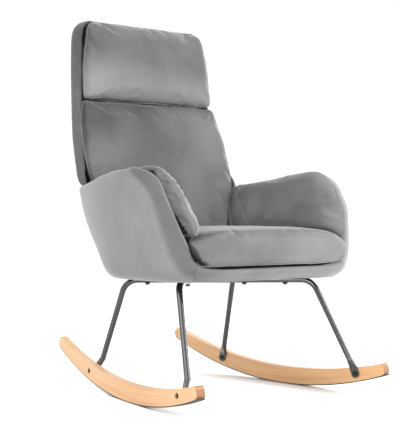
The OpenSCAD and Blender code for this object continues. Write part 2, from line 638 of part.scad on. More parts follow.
pad_y = [-239.5, -238, -235, -231, -226, -220, -212, -202, -191, -180, -168, -155, -140, -124, -105, -80,
  -46, 0, 50, 100, 150, 178, 200, 214, 221, 225];
module arm_pad() { loft([for (y = pad_y) pad_slice(y)]); }
module arm_pad_right() { color(velvet) place() arm_pad(); }
module arm_pad_left() { color(velvet) place() mirror([1, 0, 0]) arm_pad(); }

// Flat-backed crowned pad in front of the back frame, one ring per level. Its
// filling is pad_wall thick and the space behind it faces the webbing.
function pad_ring(z, a, yb, yf, crown, n = 10) =
  concat([for (i = [0:n]) let (x = -a + 2*a*i/n, q = x/a)
           [x, yf - crown*(1 - pow(abs(q), 2.4)), z]],
         [[a, yb, z], [-a, yb, z]]);
function bp_hw(z) = curve([[392, 170], [440, 188], [480, 208], [520, 225], [560, 240], [593, 246],
  [662, 243], [748, 233], [800, 224], [812, 217]], z);
function bp_front(z) = curve([[392, 148], [440, 174], [480, 195], [520, 210], [560, 221],
  [593, 232], [662, 254], [748, 282], [800, 303], [812, 310]], z);
function bp_crown(z) = curve([[392, 8], [440, 18], [520, 26], [662, 28], [760, 26], [800, 16], [812, 8]], z);
bp_levels = [392, 400, 420, 450, 480, 520, 560, 593, 630, 662, 705, 748, 780, 800, 808, 812];
function bp_ring(z, t, back) = pad_ring(z, bp_hw(z) - t,
  max(back_line(z) - 2.2, bp_front(z) + 2) + back, bp_front(z) + t, bp_crown(z));
module back_pad() {
  color(velvet) place() difference() {
    loft([for (z = bp_levels) bp_ring(z, 0, 0)]);
    loft([for (z = [425, 450, 480, 520, 560, 593, 630, 662, 705, 748, 780, 795])
      bp_ring(z, pad_wall, 20)]);
  }
}
function hp_hw(z) = head_hw - 222 + curve([[815, 215], [822, 218], [870, 218], [921, 216], [980, 208],
  [1019, 200], [1032, 191], [1040, 171]], z);
function hp_front(z) = curve([[815, 305], [822, 303], [870, 306], [921, 311], [980, 318],
  [1019, 326], [1032, 333], [1040, 343]], z);
function hp_crown(z) = curve([[815, 20], [835, 30], [900, 34], [980, 28], [1019, 16], [1040, 4]], z);
hp_levels = [815, 819, 826, 850, 885, 921, 955, 985, 1005, 1019, 1027, 1034, 1040];
function hp_ring(z0, t, back) = let (z = z0 - 815 + head_seam)
  pad_ring(z, hp_hw(z0) - t, min(back_line(z), 363) - 2.2 + back, hp_front(z0) + t, hp_crown(z0));
module headrest_pad() {
  color(velvet) place() difference() {
    loft([for (z0 = hp_levels) hp_ring(z0, 0, 0)]);
    loft([for (z0 = [832, 850, 885, 921, 955, 985, 1005, 1019]) hp_ring(z0, pad_wall, 20)]);
  }
}
// Seat cushion: level rings, narrower towards the rear. Beside the rim it
// stays inside the shell; in front of the rim it swells out again.
function cushion_max(y, z) = let (yr = rim_y(z))
  shell_in(max(y, yr), z, 3) + 26*ramp(-yr + 4, -yr + 34, -y);
function cushion_ring(z, a, yf, yr, e, n = 72) =
  [for (i = [0:n-1]) let (f = 360*i/n - 90, c = cos(f), s = sin(f),
     x0 = sgn(c)*pow(abs(c), e), y0 = sgn(s)*pow(abs(s), e),
     y = (yf + yr)/2 + (yr - yf)/2*y0, x = a*x0*(1 - 0.22*pow(max(0, (y + 195)/330), 1.1)))
   [sgn(x)*min(abs(x), cushion_max(y, z)), y, z]];
cush = [[355.8, 236, -240, 110, 0.34], [357.5, 248, -250, 116, 0.31], [361, 258, -256, 122, 0.28],
  [367, 265, -260, 127, 0.26], [376, 270, -263, 131, 0.25], [388, 273, -264.5, 136, 0.24],
  [400, 273, -264.5, 139, 0.24], [410, 270, -262, 141, 0.25], [418, 263, -257.5, 141, 0.27],
  [426, 251, -248.5, 139, 0.30], [433, 233, -236, 134, 0.34], [438.5, 209, -218, 126, 0.38],
  [442.5, 180, -193, 112, 0.42], [445.3, 144, -158, 92, 0.46], [446.7, 94, -110, 62, 0.52],
  [447.2, 40, -58, 20, 0.6]];
module seat_cushion() {
  k = seat_hw - 273;
  up = seat_top - 447;
  color(velvet) place() loft([for (c = cush)
    cushion_ring(c[0] + up*ramp(400, 447, c[0]), c[1] + k, c[2], c[3], c[4])]);
}

rocker_left();
rocker_right();
grip_strip_left();
grip_strip_right();
leg_hoop_upper();
leg_hoop_lower();
rocker_bolts();
rocker_washers();
rocker_sleeve_nuts();
seat_bolts();
seat_bolt_washers();
bar_spacers();
tee_nuts();
dust_cover();
seat_board();
deck_foam();
arm_board_left();
arm_board_right();
back_board();
back_webbing();
front_rail();
frame_brackets();
bracket_screws();
arm_shell_left();
arm_shell_right();
back_shell();
front_border();
arm_pad_left();
arm_pad_right();
back_pad();
headrest_pad();
seat_cushion();
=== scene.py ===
# Looks of the rocking chair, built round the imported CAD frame.
import bpy
import math
import numpy as np
from mathutils import Vector, Matrix, Euler


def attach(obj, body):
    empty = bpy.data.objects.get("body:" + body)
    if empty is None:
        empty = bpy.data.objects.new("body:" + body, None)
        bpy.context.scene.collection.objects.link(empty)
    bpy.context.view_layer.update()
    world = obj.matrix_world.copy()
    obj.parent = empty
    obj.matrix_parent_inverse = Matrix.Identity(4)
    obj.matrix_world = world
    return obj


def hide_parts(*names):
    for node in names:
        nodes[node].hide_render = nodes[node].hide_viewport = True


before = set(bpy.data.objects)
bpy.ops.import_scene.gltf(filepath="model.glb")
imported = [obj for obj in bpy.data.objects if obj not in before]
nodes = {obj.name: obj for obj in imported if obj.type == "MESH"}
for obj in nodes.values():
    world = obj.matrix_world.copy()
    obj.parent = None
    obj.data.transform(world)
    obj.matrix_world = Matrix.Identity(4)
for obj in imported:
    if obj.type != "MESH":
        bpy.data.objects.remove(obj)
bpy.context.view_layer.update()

OY = 63.3            # mm from the frame's crossing line back to the origin
RIM_Z = 317.0


# ------------------------------------------------------------------ numbers
def curve(tab, x):
    """Smooth lookup, the same cubic as in the CAD."""
    t = np.array(tab, float)
    k, v = t[:, 0], t[:, 1]
    m = np.empty_like(v)
    m[0] = (v[1] - v[0]) / (k[1] - k[0])
    m[-1] = (v[-1] - v[-2]) / (k[-1] - k[-2])
    m[1:-1] = (v[2:] - v[:-2]) / (k[2:] - k[:-2])
    x = np.clip(np.asarray(x, float), k[0], k[-1])
    i = np.clip(np.searchsorted(k, x, side="right") - 1, 0, len(k) - 2)
    h = k[i + 1] - k[i]
    u = (x - k[i]) / h
    return ((2 * u**3 - 3 * u * u + 1) * v[i] + (u**3 - 2 * u * u + u) * m[i] * h
            + (3 * u * u - 2 * u**3) * v[i + 1] + (u**3 - u * u) * m[i + 1] * h)


def smooth(a, b, x):
    u = np.clip((np.asarray(x, float) - a) / (b - a), 0, 1)
    return u * u * (3 - 2 * u)


def bump(x, c, w):
    return np.exp(-((x - c) / w) ** 2)


def seg_dist(P, a, b):
    """Distance from points to a segment and the place along it, 0 to 1."""
    a, b = np.array(a, float), np.array(b, float)
    d = b - a
    t = ((P - a) @ d) / (d @ d)
    tc = np.clip(t, 0, 1)
    return np.linalg.norm(P - (a + tc[..., None] * d), axis=-1), tc


def crease(P, pts, width, depth, side=0.0):
    """Height of a fold along a polyline: a valley of that depth that fades at
    both ends, with soft lips of side times the depth."""
    out = np.zeros(P.shape[:-1])
    n = len(pts) - 1
    best = np.full(P.shape[:-1], 1e9)
    along = np.zeros(P.shape[:-1])
    for i in range(n):
        d, t = seg_dist(P, pts[i], pts[i + 1])
        m = d < best
        best = np.where(m, d, best)
        along = np.where(m, (i + t) / n, along)
    fade = np.sin(np.pi * np.clip(along * 0.92 + 0.04, 0, 1)) ** 0.7
    q = best / width
    out = -depth * fade * (np.exp(-q * q) - side * np.exp(-((q - 1.9) / 0.9) ** 2))
    return out


def wave(P, scale, seed, octaves=3, stretch=(1, 1, 1)):
    """Smooth noise field of about plus or minus 1, feature size in mm."""
    r = np.random.default_rng(seed)
    out = np.zeros(P.shape[:-1])
    amp, tot = 1.0, 0.0
    for o in range(octaves):
        for j in range(7):
            d = r.normal(size=3)
            d = d / np.linalg.norm(d) / np.array(stretch)
            out += amp * np.sin((P @ d) * 2 * np.pi / (scale / 2**o) + r.uniform(0, 6.28))
        tot += amp * 2.0
        amp *= 0.5
    return out / tot


# ------------------------------------------------------------------ meshes
def make(name, V, faces, smooth_angle=None):
    """Mesh object from points in mm in the crossing frame."""
    V = np.asarray(V, float).reshape(-1, 3).copy()
    V[:, 1] -= OY
    me = bpy.data.meshes.new(name)
    me.from_pydata((V / 1000).tolist(), [], faces)
    me.validate()
    me.update()
    me.shade_smooth()
    o = bpy.data.objects.new(name, me)
    bpy.context.scene.collection.objects.link(o)
    return o


def zip_cap(idx, flip):
    n = len(idx)
    out = []
    for i in range(n // 2 - 1):
        q = [idx[i], idx[i + 1], idx[n - 2 - i], idx[n - 1 - i]]
        out.append(q[::-1] if flip else q)
    if n % 2:
        q = [idx[n // 2 - 1], idx[n // 2], idx[n // 2 + 1]]
        out.append(q[::-1] if flip else q)
    return out


def tube_faces(nu, nv, flip=False, caps=True):
    """nu rings of nv points, closed round the ring."""
    f = []
    for i in range(nu - 1):
        for j in range(nv):
            k = (j + 1) % nv
            q = [i * nv + j, i * nv + k, (i + 1) * nv + k, (i + 1) * nv + j]
            f.append(q[::-1] if flip else q)
    if caps:
        f += zip_cap(list(range(nv)), not flip)
        f += zip_cap([(nu - 1) * nv + j for j in range(nv)], flip)
    return f


def outward(o):
    """Turns the faces outwards, by the sign of the closed volume."""
    me = o.data
    vol = 0.0
    v = me.vertices
    for p in me.polygons:
        a = v[p.vertices[0]].co
        for i in range(1, len(p.vertices) - 1):
            vol += a.dot(v[p.vertices[i]].co.cross(v[p.vertices[i + 1]].co))
    if vol < 0:
        me.flip_normals()
    me.update()
    return o


def coords(o):
    n = len(o.data.vertices)
    a = np.empty(n * 3)
    o.data.vertices.foreach_get("co", a)
    return a.reshape(-1, 3)


def set_coords(o, a):
    o.data.vertices.foreach_set("co", np.asarray(a, float).ravel())
    o.data.update()


def normals(o):
    n = len(o.data.vertices)
    a = np.empty(n * 3)
    o.data.vertex_normals.foreach_get("vector", a)
    return a.reshape(-1, 3)


def local_mm(o):
    a = coords(o) * 1000
    a[:, 1] += OY
    return a


def displace(o, h):
    """Moves points along their normals by h in mm."""
    set_coords(o, coords(o) + normals(o) * (np.asarray(h)[:, None] / 1000))


def pile_and_painted_light(o, v):
    """Pile direction of the velvet, and painted light and shade by place and by facing: lighter above 0, darker below.
    """
    at = o.data.attributes.get("pile_and_painted_light") or o.data.attributes.new("pile_and_painted_light", "FLOAT", "POINT")
    at.data.foreach_set("value", np.asarray(v, np.float32))


def mirror_x(o, name):
    me = o.data.copy()
    me.name = name
    p = bpy.data.objects.new(name, me)
    bpy.context.scene.collection.objects.link(p)
    a = coords(p)
    a[:, 0] *= -1
    set_coords(p, a)
    me.flip_normals()
    return p


# --------------------------------------------------------------- materials
def new_mat(name):
    m = bpy.data.materials.new(name)
    m.use_nodes = True
    nt = m.node_tree
    b = next(n for n in nt.nodes if n.type == "BSDF_PRINCIPLED")
    return m, nt, b


def node(nt, kind, **props):
    n = nt.nodes.new(kind)
    for k, v in props.items():
        setattr(n, k, v)
    return n


def ramp(nt, src, stops):
    r = node(nt, "ShaderNodeValToRGB")
    els = r.color_ramp.elements
    while len(els) < len(stops):
        els.new(0.5)
    for e, (p, c) in zip(els, stops):
        e.position = p
        e.color = (c[0], c[1], c[2], 1) if not np.isscalar(c) else (c, c, c, 1)
    nt.links.new(src, r.inputs["Fac"])
    return r.outputs["Color"]


def noise_tex(nt, vec, scale, detail=3, rough=0.5, distort=0.0):
    n = node(nt, "ShaderNodeTexNoise")
    n.inputs["Scale"].default_value = scale
    n.inputs["Detail"].default_value = detail
    n.inputs["Roughness"].default_value = rough
    n.inputs["Distortion"].default_value = distort
    nt.links.new(vec, n.inputs["Vector"])
    return n.outputs["Fac"]


def math_node(nt, op, a, b=None, clamp=False):
    n = node(nt, "ShaderNodeMath", operation=op)
    n.use_clamp = clamp
    for i, v in enumerate((a, b)):
        if v is None:
            continue
        if isinstance(v, (int, float)):
            n.inputs[i].default_value = v
        else:
            nt.links.new(v, n.inputs[i])
    return n.outputs[0]


def mix_col(nt, fac, a, b, blend="MIX"):
    n = node(nt, "ShaderNodeMix", data_type="RGBA", blend_type=blend)
    for k, v in (("Factor", fac), ("A", a), ("B", b)):
        s = next(i for i in n.inputs if i.name == k and i.enabled)
        if isinstance(v, (int, float)):
            s.default_value = v
        elif isinstance(v, tuple):
            s.default_value = (*v, 1)
        else:
            nt.links.new(v, s)
    return next(i for i in n.outputs if i.enabled)


def bump_node(nt, b, height, strength, dist):
    n = node(nt, "ShaderNodeBump")
    n.inputs["Strength"].default_value = strength
    n.inputs["Distance"].default_value = dist
    nt.links.new(height, n.inputs["Height"])
    nt.links.new(n.outputs["Normal"], b.inputs["Normal"])
    return n


def obj_coord(nt):
    return node(nt, "ShaderNodeTexCoord").outputs["Object"]


def scaled(nt, vec, s):
    n = node(nt, "ShaderNodeMapping")
    n.inputs["Scale"].default_value = s
    nt.links.new(vec, n.inputs["Vector"])
    return n.outputs["Vector"]


def velvet_mat(name, base=(0.125, 0.125, 0.126)):
    m, nt, b = new_mat(name)
    co = obj_coord(nt)
    big = noise_tex(nt, co, 9, 3, 0.55, 0.4)          # brushed patches
    mid = noise_tex(nt, scaled(nt, co, (40, 40, 22)), 1, 4, 0.6, 0.6)
    fine = noise_tex(nt, co, 1500, 2, 0.7)            # pile tips
    tuft = noise_tex(nt, co, 420, 3, 0.65)
    # per-point tone set on each piece: pile direction plus painted light and shade
    at = node(nt, "ShaderNodeAttribute", attribute_name="pile_and_painted_light")
    v = math_node(nt, "MULTIPLY", math_node(nt, "SUBTRACT", big, 0.5), 0.42)
    v = math_node(nt, "ADD", v, math_node(nt, "MULTIPLY", math_node(nt, "SUBTRACT", mid, 0.5), 0.22))
    v = math_node(nt, "ADD", v, math_node(nt, "MULTIPLY", math_node(nt, "SUBTRACT", fine, 0.5), 0.5))
    v = math_node(nt, "ADD", v, at.outputs["Fac"])
    v = math_node(nt, "ADD", v, 1.0)
    sc = node(nt, "ShaderNodeVectorMath", operation="SCALE")
    sc.inputs[0].default_value = base
    nt.links.new(v, sc.inputs["Scale"])
    nt.links.new(sc.outputs["Vector"], b.inputs["Base Color"])
    b.inputs["Roughness"].default_value = 0.92
    b.inputs["Specular IOR Level"].default_value = 0.25
    b.inputs["Sheen Weight"].default_value = 0.4
    b.inputs["Sheen Roughness"].default_value = 0.34
    b.inputs["Sheen Tint"].default_value = (0.9, 0.9, 0.92, 1)
    h = math_node(nt, "ADD", math_node(nt, "MULTIPLY", fine, 0.6), math_node(nt, "MULTIPLY", tuft, 0.5))
    bump_node(nt, b, h, 0.35, 0.0006)
    return m


def wood_rocker_mat(name):
    """Bent beech: layers run with the curve, fine flecks across them."""
    m, nt, b = new_mat(name)
    co = obj_coord(nt)
    sep = node(nt, "ShaderNodeSeparateXYZ")
    nt.links.new(co, sep.inputs[0])
    ax = math_node(nt, "ABSOLUTE", sep.outputs[0])
    y = math_node(nt, "ADD", sep.outputs[1], OY / 1000)
    c, s = math.cos(math.radians(7)), math.sin(math.radians(7))
    x0 = math_node(nt, "SUBTRACT", ax, 0.245)
    sx = math_node(nt, "ADD", math_node(nt, "MULTIPLY", x0, c), math_node(nt, "MULTIPLY", y, s))
    sy = math_node(nt, "SUBTRACT", math_node(nt, "MULTIPLY", y, c), math_node(nt, "MULTIPLY", x0, s))
    up = math_node(nt, "SUBTRACT", 1.20, sep.outputs[2])
    rad = math_node(nt, "SQRT", math_node(nt, "ADD", math_node(nt, "MULTIPLY", up, up),
                                          math_node(nt, "MULTIPLY", sy, sy)))
    arc = math_node(nt, "MULTIPLY", math_node(nt, "ARCTAN2", sy, up), 1.2)
    comb = node(nt, "ShaderNodeCombineXYZ")
    nt.links.new(sx, comb.inputs[0])
    nt.links.new(arc, comb.inputs[1])
    nt.links.new(rad, comb.inputs[2])
    v = comb.outputs[0]
    rings = noise_tex(nt, scaled(nt, v, (26, 2.0, 62)), 1, 5, 0.6, 0.7)
    streak = noise_tex(nt, scaled(nt, v, (160, 5, 330)), 1, 4, 0.65, 0.2)
    fleck = noise_tex(nt, scaled(nt, v, (900, 90, 1500)), 1, 3, 0.6)
    patch = noise_tex(nt, scaled(nt, v, (9, 3.5, 12)), 1, 2, 0.5)
    col = ramp(nt, rings, [(0.25, (0.31, 0.145, 0.052)), (0.48, (0.46, 0.245, 0.105)), (0.75, (0.56, 0.335, 0.160))])
    col = mix_col(nt, 0.45, col, ramp(nt, streak, [(0.3, (0.28, 0.125, 0.045)), (0.6, (0.56, 0.330, 0.155))]), "MIX")
    col = mix_col(nt, ramp(nt, fleck, [(0.58, 0.0), (0.70, 0.45)]), col, (0.25, 0.115, 0.050))
    col = mix_col(nt, ramp(nt, patch, [(0.35, 0.0), (0.75, 0.30)]), col, (0.60, 0.40, 0.235))
    geo = node(nt, "ShaderNodeNewGeometry")
    sn = node(nt, "ShaderNodeSeparateXYZ")
    nt.links.new(geo.outputs["Normal"], sn.inputs[0])
    end_grain_and_shade = math_node(nt, "MULTIPLY", math_node(nt, "SUBTRACT", math_node(nt, "ABSOLUTE", sn.outputs[1]), 0.60), 4.0, clamp=True)
    col = mix_col(nt, math_node(nt, "MULTIPLY", end_grain_and_shade, 0.92), col, (0.20, 0.080, 0.028))      # end grain, and painted shade: darker on the faces turned front and back
    nt.links.new(col, b.inputs["Base Color"])
    rr = math_node(nt, "ADD", math_node(nt, "MULTIPLY", streak, 0.16), 0.36)
    nt.links.new(rr, b.inputs["Roughness"])
    b.inputs["Coat Weight"].default_value = 0.18
    b.inputs["Coat Roughness"].default_value = 0.3
    bump_node(nt, b, math_node(nt, "ADD", streak, math_node(nt, "MULTIPLY", fleck, 0.6)), 0.12, 0.0006)
    return m


def tube_mat(name):
    m, nt, b = new_mat(name)
    co = obj_coord(nt)
    n1 = noise_tex(nt, co, 60, 3, 0.6)
    n2 = noise_tex(nt, co, 900, 2, 0.6)
    nt.links.new(ramp(nt, n1, [(0.3, (0.006, 0.006, 0.0065)), (0.7, (0.013, 0.013, 0.014))]), b.inputs["Base Color"])
    nt.links.new(math_node(nt, "ADD", math_node(nt, "MULTIPLY", n1, 0.14), 0.20), b.inputs["Roughness"])
    b.inputs["Metallic"].default_value = 0.0
    b.inputs["Coat Weight"].default_value = 1.0
    b.inputs["Coat Roughness"].default_value = 0.06
    b.inputs["Specular IOR Level"].default_value = 0.35
    bump_node(nt, b, n2, 0.08, 0.0004)
    return m


def metal_mat(name, col, rough=0.35, metallic=1.0):
    m, nt, b = new_mat(name)
    co = obj_coord(nt)
    n1 = noise_tex(nt, co, 140, 4, 0.6)
    n2 = noise_tex(nt, scaled(nt, co, (400, 400, 2600)), 1, 3, 0.6)
    lo = tuple(c * 0.7 for c in col)
    nt.links.new(ramp(nt, n1, [(0.3, lo), (0.65, col)]), b.inputs["Base Color"])
    nt.links.new(math_node(nt, "ADD", math_node(nt, "MULTIPLY", n2, 0.2), rough), b.inputs["Roughness"])
    b.inputs["Metallic"].default_value = metallic
    bump_node(nt, b, n2, 0.1, 0.0003)
    return m


def strip_mat(name):
    m, nt, b = new_mat(name)
    co = obj_coord(nt)
    n1 = noise_tex(nt, co, 700, 4, 0.7)
    nt.links.new(ramp(nt, n1, [(0.3, (0.030, 0.027, 0.025)), (0.75, (0.075, 0.068, 0.062))]), b.inputs["Base Color"])
    b.inputs["Roughness"].default_value = 0.9
    bump_node(nt, b, n1, 0.5, 0.0008)
    return m


def ply_mat(name):
    m, nt, b = new_mat(name)
    co = obj_coord(nt)
    g = noise_tex(nt, scaled(nt, co, (6, 70, 120)), 1, 5, 0.6, 1.0)
    f = noise_tex(nt, scaled(nt, co, (90, 900, 1300)), 1, 3, 0.6)
    col = ramp(nt, g, [(0.3, (0.42, 0.28, 0.15)), (0.55, (0.56, 0.40, 0.24)), (0.8, (0.66, 0.50, 0.32))])
    col = mix_col(nt, ramp(nt, f, [(0.55, 0.0), (0.75, 0.4)]), col, (0.33, 0.21, 0.11))
    nt.links.new(col, b.inputs["Base Color"])
    b.inputs["Roughness"].default_value = 0.75
    bump_node(nt, b, f, 0.2, 0.0005)
    return m


def weave_mat(name, lo, hi, scale=900):
    m, nt, b = new_mat(name)
    co = obj_coord(nt)
    w1 = node(nt, "ShaderNodeTexWave", bands_direction="X")
    w2 = node(nt, "ShaderNodeTexWave", bands_direction="Y")
    for w in (w1, w2):
        w.inputs["Scale"].default_value = scale / 6
        w.inputs["Distortion"].default_value = 1.0
        nt.links.new(co, w.inputs["Vector"])
    h = math_node(nt, "MULTIPLY", w1.outputs["Fac"], w2.outputs["Fac"])
    nt.links.new(ramp(nt, h, [(0.1, lo), (0.8, hi)]), b.inputs["Base Color"])
    b.inputs["Roughness"].default_value = 0.9
    bump_node(nt, b, h, 0.3, 0.0006)
    return m


def foam_mat(name):
    m, nt, b = new_mat(name)
    co = obj_coord(nt)
    n1 = noise_tex(nt, co, 380, 5, 0.75)
    nt.links.new(ramp(nt, n1, [(0.3, (0.030, 0.030, 0.031)), (0.7, (0.060, 0.060, 0.062))]), b.inputs["Base Color"])
    b.inputs["Roughness"].default_value = 1.0
    bump_node(nt, b, n1, 0.6, 0.001)
    return m


VELVET = velvet_mat("velvet_grey")
BEECH = wood_rocker_mat("beech_bent")
TUBE = tube_mat("black_tube")
BLACK_HW = metal_mat("black_hardware", (0.035, 0.035, 0.037), 0.3, 0.6)
# near-black and not metal: the nuts' own dark finish, and painted shade of the recesses they sit in
DARK_HW_AND_RECESS_SHADE = metal_mat("dark_steel_and_recess_shade", (0.006, 0.004, 0.003), 0.6, 0.0)
ZINC = metal_mat("zinc_plate", (0.62, 0.62, 0.60), 0.28, 1.0)
STRIP = strip_mat("grip_strip")
PLY = ply_mat("plywood")
# black lining cloth; also put on the hidden boards and rail so the gaps read dark (painted shade)
LINING_AND_GAP_SHADE = weave_mat("lining", (0.010, 0.010, 0.010), (0.035, 0.035, 0.035))
STRAP = weave_mat("webbing", (0.020, 0.020, 0.020), (0.07, 0.07, 0.07), 2400)
# charcoal foam, dark so it reads as shade in the gaps (painted shade)
FOAM_AND_GAP_SHADE = foam_mat("foam")
SPACER = metal_mat("spacer_plastic", (0.025, 0.025, 0.026), 0.5, 0.0)

# foam, boards and front rail are near-black so the gaps round the pads and cushion read dark: painted shade
CAD_MATS = {
    "rocker_left": BEECH, "rocker_right": BEECH, "grip_strip_left": STRIP, "grip_strip_right": STRIP,
    "leg_hoop_upper": TUBE, "leg_hoop_lower": TUBE, "rocker_bolts": BLACK_HW, "rocker_washers": BLACK_HW,
    "rocker_sleeve_nuts": DARK_HW_AND_RECESS_SHADE, "seat_bolts": BLACK_HW, "seat_bolt_washers": BLACK_HW,
    "bar_spacers": SPACER, "tee_nuts": ZINC, "dust_cover": LINING_AND_GAP_SHADE, "seat_board": PLY, "deck_foam": FOAM_AND_GAP_SHADE,
    "arm_board_left": LINING_AND_GAP_SHADE, "arm_board_right": LINING_AND_GAP_SHADE, "back_board": LINING_AND_GAP_SHADE, "back_webbing": STRAP,
    "front_rail": LINING_AND_GAP_SHADE, "frame_brackets": ZINC, "bracket_screws": ZINC,
}
for n, mt in CAD_MATS.items():
    if n in nodes:
        me = nodes[n].data
        me.materials.clear()
        me.materials.append(mt)

# Worn-in edges on the rockers: a small round on every sharp edge.
for n in ("rocker_left", "rocker_right"):
    bv = nodes[n].modifiers.new("edge_round", "BEVEL")
    bv.width = 0.0016
    bv.segments = 3
    bv.limit_method = "ANGLE"
    bv.angle_limit = math.radians(40)
    bv.harden_normals = False


def dress(o, *replaced, slot="velvet", mat=None):
    o.data.materials.clear()
    o.data.materials.append(mat or VELVET)
    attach(o, "root")
    if replaced:
        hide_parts(*replaced)
    return o


# ------------------------------------------------------------- outer shell
SHELL_K = 3.0


def hw(z):
    return SHELL_K + curve([[317, 268], [326, 281], [340, 291], [355, 297], [400, 308], [450, 316], [510, 320],
                            [590, 315], [620, 300]], z)


def front_y(z):
    return curve([[317, 222], [335, 243], [355, 255], [400, 263], [440, 258], [490, 244], [540, 229], [620, 212]], z)


def rear_y(z):
    return curve([[317, 169], [335, 176], [400, 209], [480, 268], [560, 309], [620, 330]], z)


def front_n(z):
    return curve([[317, 7.5], [355, 6.2], [415, 5.3], [460, 5.5], [505, 6.1], [546, 5.4], [600, 4.2]], z)


def ring(z, f, t=0.0):
    """Point of the outer shell at height z and plan angle f, set in by t."""
    z, f, t = np.broadcast_arrays(np.asarray(z, float), np.asarray(f, float), np.asarray(t, float))
    c, s = np.cos(np.radians(f)), np.sin(np.radians(f))
    a = hw(z) - t
    b = np.where(f < 0, front_y(z), rear_y(z)) - t
    e = 2 / np.where(f < 0, front_n(z), 4.0)
    return np.stack([a * np.sign(c) * np.abs(c) ** e, b * np.sign(s) * np.abs(s) ** e, z], -1)


ARM_EDGE = [[-90, 341], [-80, 341], [-72, 343], [-65, 346], [-59, 351], [-52.7, 360], [-48, 373], [-44.6, 392],
            [-42.5, 412], [-38, 450], [-33, 491], [-27.9, 537], [-24, 561], [-16.8, 581], [-10, 590],
            [-4.4, 597], [-0.5, 592], [2, 582], [9, 564], [17.6, 555], [26, 551], [40, 548], [62, 545]]


def edge_z(f):
    """Height of the rim's inner edge; the same on both sides of the front."""
    f = np.asarray(f, float)
    f = np.where(f < -90, -180 - f, f)
    return curve(ARM_EDGE, f)


def wall(z):
    return curve([[317, 14], [338, 20], [370, 28], [400, 33], [450, 36], [520, 35], [560, 27], [590, 16], [605, 11]], z)


def wall_at(z, f):
    return wall(z) * (1 - 0.6 * smooth(28, 56, f))


def rim_rows(f, nz=46, na=15):
    """Columns of the padded shell wall: outside up, round the rim, inside down."""
    rows = []
    for fi in f:
        zt = float(edge_z(fi))
        w = float(wall_at(zt, fi))
        # slope of the rim, so that the roll stands square on it
        d = 0.4
        p0, p1 = ring(float(edge_z(fi - d)), fi - d), ring(float(edge_z(fi + d)), fi + d)
        run = math.hypot(p1[0] - p0[0], p1[1] - p0[1])
        al = math.atan2(p1[2] - p0[2], run)
        h = 0.42 * w
        f_mm = run / (2 * d)                      # mm of surface per degree
        zo = RIM_Z + (zt - RIM_Z) * np.linspace(0.012, 1, nz)
        a = ring(zo, fi, 2.4 * np.exp(-(zo - RIM_Z) / 3.0))
        th = np.linspace(0, np.pi, na + 2)[1:-1]
        arc = ring(zt + h * np.sin(th) * math.cos(al), fi - h * np.sin(th) * math.sin(al) / f_mm,
                   w / 2 * (1 - np.cos(th)))
        zi = zo[::-1][::2]
        inn = ring(zi, fi, np.maximum(wall_at(zi, fi), 2.0))
        bot = ring(np.full(3, RIM_Z), fi, np.array([9.0, 5.5, 2.9]))
        rows.append(np.concatenate([a, arc, inn, bot]))
    return np.array(rows)


SPLIT = -57.0


def arm_shell():
    """Right outer arm covering."""
    f = np.concatenate([np.linspace(63, 8, 48), np.linspace(7, -12, 40), np.linspace(-12.8, SPLIT + 0.15, 96)])
    P = rim_rows(f)
    o = make("arm_cover_right", P, tube_faces(len(f), P.shape[1]))
    return outward(o)


def front_border():
    f = np.linspace(SPLIT - 0.15, -180 - SPLIT + 0.15, 150)
    P = rim_rows(f, 24)
    o = make("front_border_cover", P, tube_faces(len(f), P.shape[1]))
    return outward(o)


# --------------------------------------------------------------- back cover
def back_hw(z):
    return curve([[317, 152], [323, 155], [330, 186], [345, 199], [400, 208], [480, 215], [548, 247], [572, 268], [622, 263], [694, 250], [781, 239],
                  [897, 233], [985, 228], [1016, 221], [1034, 206], [1042, 190]], z)


def back_rear(z):
    return curve([[317, 158], [335, 163], [400, 197], [480, 252], [560, 292], [622, 328], [694, 368], [781, 395],
                  [897, 411], [985, 416], [1016, 413], [1034, 403], [1042, 390]], z)


def back_rim(z):
    return curve([[317, 128], [400, 160], [480, 203], [545, 232], [575, 246], [622, 271], [694, 306], [781, 331],
                  [897, 341], [985, 347], [1016, 352], [1034, 357], [1042, 362]], z)


def back_shell():
    z = np.concatenate([np.linspace(317, 545, 34), np.linspace(552, 1016, 84), 1016 + 26 * np.sin(np.linspace(0.1, 1, 12) * np.pi / 2)])
    nf = 46
    u = np.linspace(0, 1, nf)
    f = 180 * (u - 0.16 * np.sin(2 * np.pi * u) / (2 * np.pi) * 1.0)
    c, s = np.cos(np.radians(f)), np.sin(np.radians(f))
    s[0] = s[-1] = 0
    e = 0.4
    rows = []
    for zi in z:
        a, yr, yf = float(back_hw(zi)), float(back_rear(zi)), float(back_rim(zi))
        X = np.sign(c) * np.abs(c) ** e
        Y = np.abs(s) ** e
        yo = yf + (yr - yf) * Y
        tuck = 7.0 * float(smooth(560, 640, zi)) * np.exp(-((yo - yf) / 13.0) ** 2)
        outer = np.stack([(a - tuck) * X, yo, np.full(nf, zi)], -1)
        w = 5.5 + (yr - yf - 7.0) * float(smooth(1022, 1036, zi))      # solid along the top
        b = a - 7.0 * float(smooth(560, 640, zi))

        def roll(sg):
            th = np.linspace(0, np.pi, 8)[1:-1]
            r = 3.5
            return np.stack([sg * (b - r + r * np.cos(th)), yf - r * np.sin(th), np.full(6, zi)], -1)
        inner = np.stack([(b - 7) * X, yf + (yr - w - yf) * Y, np.full(nf, zi)], -1)
        rows.append(np.concatenate([outer, roll(-1), inner[::-1], roll(1)[::-1]]))
    P = np.array(rows)
    o = make("back_cover", P, tube_faces(len(z), P.shape[1]))
    return outward(o)


def back_line(z):
    return curve([[339, 118], [400, 160], [480, 207], [560, 248], [622, 281], [694, 318], [781, 343], [897, 357],
                  [1000, 364]], z)


# -------------------------------------------------------------------- pads
def rounded(k, r, length):
    """Inset of a rounded end: 0 inside, growing to r over the last r mm."""
    q = np.clip((r - k) / r, 0, 1)
    return r * (1 - np.sqrt(np.maximum(1 - q * q, 0)))


